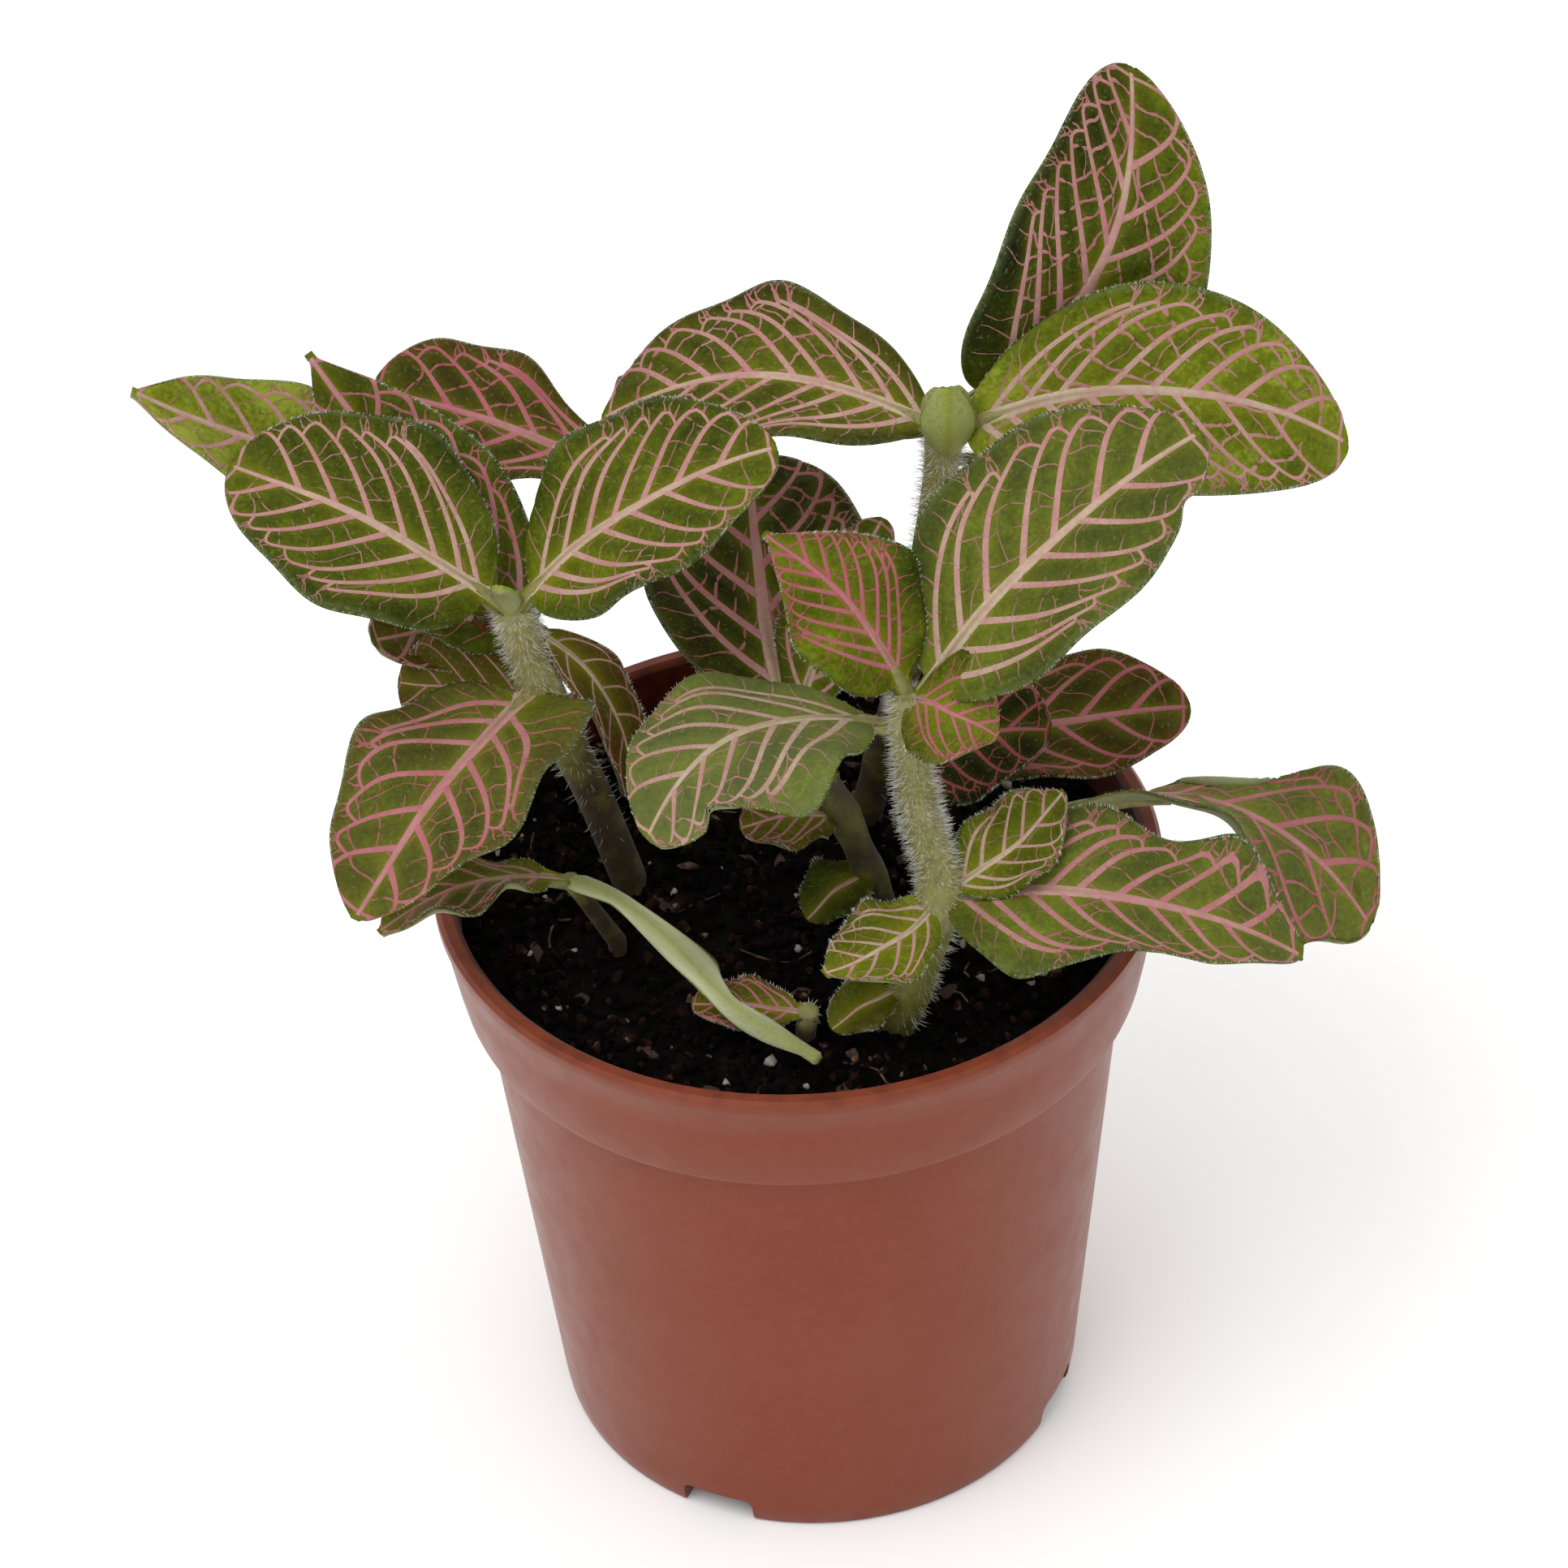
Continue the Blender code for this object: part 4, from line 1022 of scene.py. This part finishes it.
def margin_hairs(bm, one, dice, settings):
    """Short hairs along both margins of a leaf."""
    count = int(leaf_frame(one)[1] * settings.margin_hairs)
    if one["width"] < SMALL_LEAF or count < 4:
        return
    along = np.array([dice.uniform(one["stalk"], 0.99) for _ in range(2 * count)])
    hand = np.array([1.0, -1.0] * count)
    roots, inner = leaf_points(one, along, hand * 0.985), leaf_points(one, along, hand * 0.9)
    spots = iter(zip(roots, inner, leaf_normals(one, along, hand * 0.97)))

    def one_hair(part):
        root, inside, normal = next(spots)
        out = unit(root - inside)
        lifted = out + normal * dice.uniform(-0.2, 0.5)
        way = unit(lifted + np.array([dice.uniform(-0.4, 0.4) for _ in range(3)]))
        length = dice.uniform(0.12, 0.30) * settings.length
        bristle(part, root - out * 0.08, way, length, settings.thick * 0.7)

    in_batches(bm, (), len(roots), one_hair)


# ---- pot ----------------------------------------------------------------------------------------

def wall_radius(height):
    """The outside radius of the pot's body at a height."""
    return BASE_RADIUS + (BODY_TOP_RADIUS - BASE_RADIUS) * height / BAND_FOOT


def band_radius(height):
    """The outside radius of the pot's band at a height."""
    return BAND_FOOT_RADIUS + (RIM_RADIUS - BAND_FOOT_RADIUS) * (height - BAND_FOOT) / BAND_HEIGHT


def inner_radius(height):
    """The pot's inside radius at a height."""
    if height > BAND_FOOT:
        return band_radius(height) - WALL - BAND_EXTRA
    return wall_radius(height) - WALL


def pot_section():
    """The pot's half section from the middle of its foot, round the rim, to the middle of its floor."""
    lip_foot, mouth = POT_HEIGHT - LIP_HEIGHT, RIM_RADIUS - LIP_WIDTH
    foot = [(0, 0), (BASE_RADIUS - 3, 0), (BASE_RADIUS - FOOT_CHAMFER, 0), (BASE_RADIUS - 0.2, 0.2),
            (BASE_RADIUS + 0.02, FOOT_CHAMFER)]
    body = [(wall_radius(h), h) for h in (2, 4, 6, 9, 14, 20, 27, 34, 41)]
    band = [(BODY_TOP_RADIUS, BAND_FOOT - STEP), (BAND_FOOT_RADIUS - 0.167, BAND_FOOT),
            (BAND_FOOT_RADIUS, BAND_FOOT + STEP)] + [(band_radius(h), h) for h in (48.5, 51.5)]
    lip = [(band_radius(lip_foot) - 0.19, lip_foot - STEP), (RIM_RADIUS, lip_foot),
           (RIM_RADIUS, POT_HEIGHT - LIP_BEVEL), (RIM_RADIUS - LIP_BEVEL, POT_HEIGHT),
           (mouth + 0.5, POT_HEIGHT), (mouth, POT_HEIGHT - 0.5)]
    inside = [(inner_radius(h), h) for h in (54, 51, 48, 45, 38, 30, 20, 10, FLOOR + 1)]
    return foot + body + band + lip + inside + [(inner_radius(FLOOR) - 1, FLOOR), (10, FLOOR), (0, FLOOR)]


def pot_shell(steps):
    """The pot's wall and floor, spun about its upright axis."""
    bm = fresh(*POT_NUMBERS)
    spun(bm, pot_section(), steps)
    bmesh.ops.recalc_face_normals(bm, faces=bm.faces[:])
    return bm


def notch_cutters():
    """Blocks with rounded upper corners that stand where the drain notches go."""
    bm = bmesh.new()
    for i in range(NOTCHES):
        block = bmesh.ops.create_cube(bm, size=1.0)["verts"]
        bmesh.ops.scale(bm, vec=(2 * NOTCH_DEPTH * MM, NOTCH_WIDTH * MM, 2 * NOTCH_HEIGHT * MM), verts=block)
        top = [e for e in dict.fromkeys(e for v in block for e in v.link_edges)
               if all(v.co.z > 0 for v in e.verts) and abs(e.verts[0].co.y - e.verts[1].co.y) < 1e-6]
        made = bmesh.ops.bevel(bm, geom=top, offset=NOTCH_CORNER * MM, segments=6, affect="EDGES",
                               profile=0.5, material=-1)
        block = list({v for f in made["faces"] for v in f.verts} | {v for v in block if v.is_valid})
        turn = Matrix.Rotation(math.radians(NOTCH_START + 360 / NOTCHES * i), 4, "Z")
        bmesh.ops.transform(bm, matrix=turn @ Matrix.Translation((BASE_RADIUS * MM, 0, 0)), verts=block)
    in_order(bm)
    bmesh.ops.recalc_face_normals(bm, faces=bm.faces[:])
    return bm


def cut_away(bm, cutter):
    """The solid in bm after the cutter's solid has been taken out of it."""
    objects = []
    for name, solid in (("pot_uncut", bm), ("notch_blocks", cutter)):
        mesh = bpy.data.meshes.new(name)
        solid.to_mesh(mesh)
        solid.free()
        objects.append(bpy.data.objects.new(name, mesh))
        bpy.context.scene.collection.objects.link(objects[-1])
    cut = objects[0].modifiers.new("drain_notches", "BOOLEAN")
    cut.operation, cut.object, cut.solver = "DIFFERENCE", objects[1], "EXACT"
    bpy.context.view_layer.update()
    result = fresh(*POT_NUMBERS)
    result.from_object(objects[0], bpy.context.evaluated_depsgraph_get())
    for obj in objects:
        mesh = obj.data
        bpy.data.objects.remove(obj)
        bpy.data.meshes.remove(mesh)
    return result


def is_inside(spot):
    """Whether a point of the pot, in mm, is on its inner wall or its floor."""
    radius, mouth = math.hypot(spot.x, spot.y), RIM_RADIUS - LIP_WIDTH + 0.1
    return FLOOR - 0.1 < spot.z < POT_HEIGHT - 0.3 and radius < min(mouth, inner_radius(spot.z) + 0.6)


def soiling(spot):
    """How soiled a point of the pot is: all over the inside, and outside at the rim and the foot."""
    rim, foot = smooth((spot.z - 54.6) / 1.5), smooth((1.5 - spot.z) / 1.5)
    return 0.9 if is_inside(spot) else 0.5 * float(rim) + 0.5 * float(foot)


# ---- soil ---------------------------------------------------------------------------------------

def soil_height(x, y):
    """The height of the soil's rough top."""
    big = noise.noise(Vector((x / SOIL_LUMP, y / SOIL_LUMP, 3.1)))
    small = noise.noise(Vector((x / 1.6, y / 1.6, 7.7)))
    edge = smooth((math.hypot(x, y) - 22) / 5)
    return SOIL_TOP - SOIL_DIP + (SOIL_RELIEF * big + 0.35 * small) * (1 - 0.4 * edge) - 0.5 * edge


def soil_bed(rings, sides):
    """The closed body of soil, spun about the pot's axis and roughened on top."""
    bm = fresh("crumb")
    reach, foot = inner_radius(SOIL_TOP) + 0.1, SOIL_TOP - SOIL_FOOT
    top = [(reach * (i / rings), SOIL_TOP) for i in range(rings + 1)]
    spun(bm, top + [(inner_radius(foot) + 0.1, foot), (0, foot)], sides)
    for v in bm.verts:
        if v.co.z > (SOIL_TOP - 1) * MM:
            v.co.z = soil_height(v.co.x / MM, v.co.y / MM) * MM
    bmesh.ops.recalc_face_normals(bm, faces=bm.faces[:])
    paint(bm, bm.verts[:], crumb=[0.35 + 0.3 * noise.noise(v.co / (3 * MM)) for v in bm.verts])
    return bm


def scattered(dice, margin):
    """A random place on the soil, at least the margin away from the pot's wall."""
    reach = inner_radius(SOIL_TOP) - margin
    angle, radius = dice.uniform(0, math.tau), reach * math.sqrt(dice.random())
    x, y = radius * math.cos(angle), radius * math.sin(angle)
    return Vector((x, y, soil_height(x, y)))


def rough_ball(bm, dice, matrix, radius, jitter, tones):
    """Adds an uneven lump: a ball that the matrix places and stretches, with its points pushed about."""
    verts = bmesh.ops.create_icosphere(bm, subdivisions=1, radius=radius, matrix=matrix)["verts"]
    for v in verts:
        v.co += Vector([dice.uniform(-jitter, jitter) * MM for _ in range(3)])
    paint(bm, verts, crumb=dice.uniform(*tones))


def crumb(bm, dice, low, high, tones):
    """A small irregular lump lying half sunk in the soil."""
    spot = scattered(dice, 0.8)
    size = dice.uniform(low, high) * dice.uniform(0.6, 1.0)
    stretch = Matrix.Diagonal((dice.uniform(0.7, 1.3), dice.uniform(0.7, 1.3), dice.uniform(0.5, 1.0), 1))
    spot.z += size * 0.12
    x, y, z = (Matrix.Rotation(dice.uniform(0, math.tau), 4, axis) for axis in "XYZ")
    matrix = Matrix.Translation(spot * MM) @ (x @ y @ z) @ stretch
    rough_ball(bm, dice, matrix, size * MM / 2, 0.17 * size, tones)


def chips(bm, dice, count):
    """Flat torn bits of bark."""
    for _ in range(count):
        spot = scattered(dice, 2)
        turn = Matrix.Rotation(dice.uniform(0, math.tau), 4, "Z")
        tilt = Matrix.Rotation(dice.uniform(-0.5, 0.5), 4, "X")
        shape = Matrix.Diagonal([dice.uniform(low, high) * MM for low, high in CHIP_SIZES] + [1])
        spot.z += 0.15
        matrix = Matrix.Translation(spot * MM) @ (turn @ tilt) @ shape
        rough_ball(bm, dice, matrix, 0.55, 0.2, (0.1, 0.75))


def threads(bm, dice, count):
    """Thin bent roots and fibres on the soil."""
    for _ in range(count):
        spot = scattered(dice, 4)
        angle, bendy = dice.uniform(0, math.tau), dice.uniform(-0.9, 0.9)
        length = dice.uniform(2, 6)
        points = []
        for k in range(5):
            t, heading = k / 4 * length, angle + bendy * k / 4
            x, y = spot[0] + t * math.cos(heading), spot[1] + t * math.sin(heading)
            points.append((x, y, soil_height(x, y) + 0.25 + 0.3 * math.sin(k * 1.3 + spot[0])))
        radii = np.full(len(points), dice.uniform(0.05, 0.12))
        tube(bm, np.array(points), radii, sides=5, crumb=dice.uniform(0.6, 1.1))


# ---- settings -----------------------------------------------------------------------------------

class PotSettings(bpy.types.PropertyGroup):
    """The nursery pot's mesh, soiling and colours."""
    steps: IntProperty(name="Steps round", description="Facets round the pot", default=160, min=48, max=256)
    dirt: FloatProperty(name="Soiling", description="How soiled the rim and the inside are", default=0.5,
                        min=0.0, max=1.0, subtype="FACTOR")
    colour: tint("Plastic", "Colour of the pot", "#74321b")
    dust: tint("Dust", "Colour of the dust and specks on the pot", "#884f3a")
    inside: tint("Inside", "Colour of the shaded inside wall", "#4a160b")


class SoilSettings(bpy.types.PropertyGroup):
    """How much lies on the soil, and its colours."""
    lumps: IntProperty(name="Crumbs", description="Number of peat crumbs", default=3200, min=100, max=4000)
    grains: IntProperty(name="Perlite grains", description="Number of perlite grains", default=60, min=0,
                        max=400)
    chips: IntProperty(name="Bark chips", description="Number of bark chips", default=45, min=0, max=300)
    threads: IntProperty(name="Root threads", description="Number of root threads", default=28, min=0,
                         max=200)
    peat_dark: tint("Peat, darkest", "Colour of the hollows in the peat", "#020101")
    peat: tint("Peat", "Colour of most of the peat", "#0b0605")
    peat_warm: tint("Peat, warm", "Colour of the brown lumps", "#2a160f")
    perlite: tint("Perlite", "Colour of the perlite grains", "#a39e92")
    bark: tint("Bark", "Colour of the bark chips", "#3a1f14")
    thread: tint("Root threads", "Colour of the palest root threads", "#6b5438")


class LeafSettings(bpy.types.PropertyGroup):
    """Sizes of the leaf blades and veins, in millimetres, and the colours of leaves and stems."""
    spacing: FloatProperty(name="Mesh spacing", description="Distance between points of a blade, mm",
                           default=0.34, min=0.2, max=1.5)
    puff: FloatProperty(name="Quilting", description="How far the blade swells between veins, mm",
                        default=0.42, min=0.0, max=1.0)
    fine_puff: FloatProperty(name="Fine quilting", description="Swelling between the finest veins, mm",
                             default=0.08, min=0.0, max=0.3)
    thickness: FloatProperty(name="Blade thickness", description="Thickness of the blade, mm", default=0.5,
                             min=0.2, max=0.9)
    rib_height: FloatProperty(name="Vein height", description="How far the midrib stands up, mm",
                              default=0.11, min=0.02, max=0.5)
    cells_black: tint("Cells, deepest", "Blade colour at tone 0", "#0d1001")
    cells_dark: tint("Cells, dark", "Blade colour at tone 0.3", "#272f02")
    cells_green: tint("Cells, green", "Blade colour at tone 0.55", "#404905")
    cells_light: tint("Cells, light", "Blade colour at tone 0.8", "#5e690c")
    cells_pale: tint("Cells, palest", "Blade colour at tone 1", "#87912f")
    halo: tint("Beside the midrib", "Yellow-green beside the veins", "#7c7c16")
    # also the grey that frost lays over whole blades, which is partly painted sheen
    margin: tint("Margin", "Grey-green of the hairy margin", "#6c7350")
    underside: tint("Underside", "Colour of the leaf's back", "#90936f")
    young: tint("Young back", "Pale down on the back of a rolled young leaf", "#c3c8a4")
    bronze: tint("Bronze", "Red-brown flush of old leaves", "#5a2c14")
    vein_cream: tint("Veins, cream", "Vein colour at the foot of a leaf", "#b8a78f")
    vein_pale: tint("Veins, pale pink", "Colour of pale pink veins", "#b0817d")
    vein_pink: tint("Veins, pink", "Colour of pink veins", "#a8646b")
    vein_rose: tint("Veins, rose", "Colour of the rosiest veins", "#a3475a")
    vein_faint: tint("Veins, faint", "Olive that thin veins fade to", "#5f5a2c")
    stem_brown: tint("Stem, brown", "Colour of a woody stem foot", "#33250f")
    stem_green: tint("Stem, green", "Colour of a green stem", "#6a6a24")
    stem_pale: tint("Stem, pale", "Colour of young joints", "#8a8450")


class HairSettings(bpy.types.PropertyGroup):
    """Density, size and colour of the hairs."""
    stem_hairs: FloatProperty(name="Stem hairs", description="Hairs per millimetre of stem", default=34,
                              min=0, max=60)
    margin_hairs: FloatProperty(name="Margin hairs", description="Hairs per millimetre of leaf margin",
                                default=7, min=0, max=15)
    length: FloatProperty(name="Hair length", description="Length of the longest hairs, mm", default=1.25,
                          min=0.2, max=3.0)
    thick: FloatProperty(name="Hair thickness", description="Thickness of a hair at its foot, mm",
                         default=0.07, min=0.01, max=0.2)
    colour: tint("Hair", "Colour of the hairs", "#f2f2ea")


class StageSettings(bpy.types.PropertyGroup):
    """Floor, light and camera."""
    world: FloatProperty(name="Ambient light", description="Strength of the even light", default=1.06, min=0)
    key: FloatProperty(name="Soft light", description="Power of the large lamp", default=2.2, min=0,
                       unit="POWER")
    camera_at: FloatVectorProperty(name="Camera place", description="Where the camera stands",
                                   default=(-0.00077, -0.34391, 0.34622), subtype="TRANSLATION",
                                   unit="LENGTH")
    pitch: FloatProperty(name="Downward tilt", description="How far the camera looks down",
                         default=math.radians(39.4), subtype="ANGLE", unit="ROTATION")
    roll: FloatProperty(name="Roll", description="How far the camera is turned about its view",
                        default=math.radians(-2.84), subtype="ANGLE", unit="ROTATION")
    lens: FloatProperty(name="Focal length", description="Focal length of the camera", default=125.85,
                        min=10, unit="CAMERA")
    floor: tint("Floor", "Colour of the studio floor", "#fcfcfb")


# ---- operators ----------------------------------------------------------------------------------

class NERVE_OT_pot(bpy.types.Operator):
    """Makes the plastic nursery pot with its drain notches"""
    bl_idname = "nerve.pot"
    bl_label = "Make pot"

    def execute(self, context):
        settings = context.scene.nerve_pot
        bm = cut_away(pot_shell(settings.steps), notch_cutters())
        spots = [v.co / MM for v in bm.verts]
        # inside marks the inner wall and floor for their painted shade; dirt marks the real soiling
        paint(bm, bm.verts[:], inside=[is_inside(spot) for spot in spots],
              dirt=[settings.dirt * soiling(spot) for spot in spots])
        add_piece(bm, "nursery_pot", pot_material(settings), "pot", sharp=40)
        return {"FINISHED"}


class NERVE_OT_soil(bpy.types.Operator):
    """Makes the bed of peat with its crumbs, perlite grains, bark chips and root threads"""
    bl_idname = "nerve.soil"
    bl_label = "Make soil"

    def execute(self, context):
        settings = context.scene.nerve_soil
        dice = random.Random(SOIL_SEED)
        peat, bark, perlite = soil_material(settings), bark_material(settings), perlite_material(settings)
        add_piece(soil_bed(rings=56, sides=130), "soil_bed", peat, "soil")
        for name, material, count, low, high, tones in (
                ("soil_crumbs", peat, settings.lumps, 0.35, 1.7, (0.0, 0.8)),
                ("soil_perlite", perlite, settings.grains, 0.35, 1.25, (0.5, 0.5))):
            bm = fresh("crumb")
            in_batches(bm, ("crumb",), count, lambda part: crumb(part, dice, low, high, tones))
            add_piece(bm, name, material, "soil")
        bm = fresh("crumb")
        chips(bm, dice, settings.chips)
        threads(bm, dice, settings.threads)
        add_piece(bm, "soil_bark", bark, "soil", sharp=30)
        return {"FINISHED"}


def make_leaf_pieces(kind, material, numbers, add_leaf, settings):
    """Makes one kind of piece for every shoot, leaf by leaf."""
    for node, own in SHOOTS.items():
        bm = bmesh.new()
        for i, one in enumerate(own["leaves"]):
            part = fresh(*numbers)
            add_leaf(part, one, vein_lines(one, f"{node}{i}"), settings)
            gather(bm, part)
        add_piece(bm, f"{node}_{kind}", material, node)


class NERVE_OT_blades(bpy.types.Operator):
    """Makes the quilted leaf blades of every shoot"""
    bl_idname = "nerve.blades"
    bl_label = "Make leaf blades"

    def execute(self, context):
        settings = context.scene.nerve_leaf
        make_leaf_pieces("blades", leaf_material(settings), BLADE_NUMBERS, leaf_blade, settings)
        return {"FINISHED"}


class NERVE_OT_veins(bpy.types.Operator):
    """Makes the raised veins on every leaf"""
    bl_idname = "nerve.veins"
    bl_label = "Make leaf veins"

    def execute(self, context):
        settings = context.scene.nerve_leaf
        make_leaf_pieces("veins", vein_material(settings), VEIN_NUMBERS, leaf_veins, settings)
        return {"FINISHED"}


class NERVE_OT_stems(bpy.types.Operator):
    """Makes the stems and the round leaf stalks"""
    bl_idname = "nerve.stems"
    bl_label = "Make stems"

    def execute(self, context):
        material = stem_material(context.scene.nerve_leaf)
        for node, own in SHOOTS.items():
            bm = fresh("ripe")
            stem_body(bm, own)
            add_piece(bm, f"{node}_stem", material, node)
        return {"FINISHED"}


class NERVE_OT_hairs(bpy.types.Operator):
    """Makes the fine hairs on stems and leaf margins"""
    bl_idname = "nerve.hairs"
    bl_label = "Make hairs"

    def execute(self, context):
        settings = context.scene.nerve_hair
        material = hair_material(settings)
        for number, (node, own) in enumerate(SHOOTS.items()):
            dice = random.Random(HAIR_SEED + number)
            bm = bmesh.new()
            stem_hairs(bm, own, dice, settings)
            for one in own["leaves"]:
                margin_hairs(bm, one, dice, settings)
            add_piece(bm, f"{node}_hairs", material, node)
        return {"FINISHED"}


class NERVE_OT_stage(bpy.types.Operator):
    """Makes the floor, the soft light and the camera"""
    bl_idname = "nerve.stage"
    bl_label = "Make stage"

    def execute(self, context):
        settings = context.scene.nerve_stage
        make_floor(settings)
        make_light(settings)
        make_camera(settings)
        return {"FINISHED"}


# ---- stage (m) ----------------------------------------------------------------------------------

FLOOR_HALF = 3.0
LAMP_SIZE = 0.5
LAMP_AT = (-0.25, -0.30, 0.75)
LAMP_AIM = (0, 0, 0.07)
SENSOR_WIDTH = 36.0
NEAREST, FARTHEST = 0.01, 20.0


def make_floor(settings):
    """A wide plain floor just under the pot."""
    bm = bmesh.new()
    bmesh.ops.create_grid(bm, x_segments=8, y_segments=8, size=FLOOR_HALF)
    mesh = bpy.data.meshes.new("studio_floor")
    bm.to_mesh(mesh)
    bm.free()
    add_object("studio_floor", mesh, floor_material(settings))


def make_light(settings):
    """Even white surroundings and one large soft lamp above."""
    scene = bpy.context.scene
    scene.view_settings.view_transform = "Standard"
    scene.world = bpy.data.worlds.new("studio_white")
    scene.world.use_nodes = True
    background = scene.world.node_tree.nodes["Background"]
    background.inputs["Color"].default_value = (1, 1, 1, 1)
    background.inputs["Strength"].default_value = settings.world
    lamp = bpy.data.lights.new("soft_lamp", "AREA")
    lamp.shape, lamp.size, lamp.energy = "DISK", LAMP_SIZE, settings.key
    obj = bpy.data.objects.new("soft_lamp", lamp)
    scene.collection.objects.link(obj)
    obj.location = LAMP_AT
    obj.rotation_euler = (Vector(LAMP_AIM) - obj.location).to_track_quat("-Z", "Y").to_euler()


def make_camera(settings):
    """A camera above and in front of the plant."""
    scene = bpy.context.scene
    camera = bpy.data.objects.new("camera", bpy.data.cameras.new("camera"))
    scene.collection.objects.link(camera)
    camera.data.lens, camera.data.sensor_width = settings.lens, SENSOR_WIDTH
    camera.data.clip_start, camera.data.clip_end = NEAREST, FARTHEST
    ahead = Vector((0, math.cos(settings.pitch), -math.sin(settings.pitch)))
    right = Vector((1, 0, 0))
    up = right.cross(ahead)
    cos, sin = math.cos(settings.roll), math.sin(settings.roll)
    right, up = right * cos + up * sin, up * cos - right * sin
    turn = Matrix((right, up, -ahead)).transposed().to_4x4()
    camera.matrix_world = Matrix.Translation(settings.camera_at) @ turn
    scene.camera = camera


# ---- panel and registration ---------------------------------------------------------------------

class NERVE_PT_panel(bpy.types.Panel):
    """Lists the steps that dress the plant"""
    bl_idname = "NERVE_PT_panel"
    bl_label = "Nerve plant"
    bl_space_type = "VIEW_3D"
    bl_region_type = "UI"
    bl_category = "Nerve plant"

    def draw(self, context):
        for group in SETTINGS:
            values = getattr(context.scene, group)
            box = self.layout.box()
            for name in values.__annotations__:
                box.prop(values, name)
        for step in STEPS:
            self.layout.operator(step.bl_idname)


SETTINGS = {"nerve_pot": PotSettings, "nerve_soil": SoilSettings, "nerve_leaf": LeafSettings,
            "nerve_hair": HairSettings, "nerve_stage": StageSettings}
STEPS = (NERVE_OT_pot, NERVE_OT_soil, NERVE_OT_blades, NERVE_OT_veins, NERVE_OT_stems, NERVE_OT_hairs,
         NERVE_OT_stage)


def register():
    """Registers the settings, the steps and the panel."""
    for name, group in SETTINGS.items():
        bpy.utils.register_class(group)
        setattr(bpy.types.Scene, name, PointerProperty(type=group))
    for step in STEPS:
        bpy.utils.register_class(step)
    bpy.utils.register_class(NERVE_PT_panel)


def unregister():
    """Takes the panel, the steps and the settings away again."""
    bpy.utils.unregister_class(NERVE_PT_panel)
    for step in reversed(STEPS):
        bpy.utils.unregister_class(step)
    for name, group in reversed(SETTINGS.items()):
        delattr(bpy.types.Scene, name)
        bpy.utils.unregister_class(group)


def main():
    """Makes every piece in order."""
    register()
    for step in STEPS:
        group, name = step.bl_idname.split(".")
        getattr(getattr(bpy.ops, group), name)()
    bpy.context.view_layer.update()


if __name__ == "__main__":
    main()
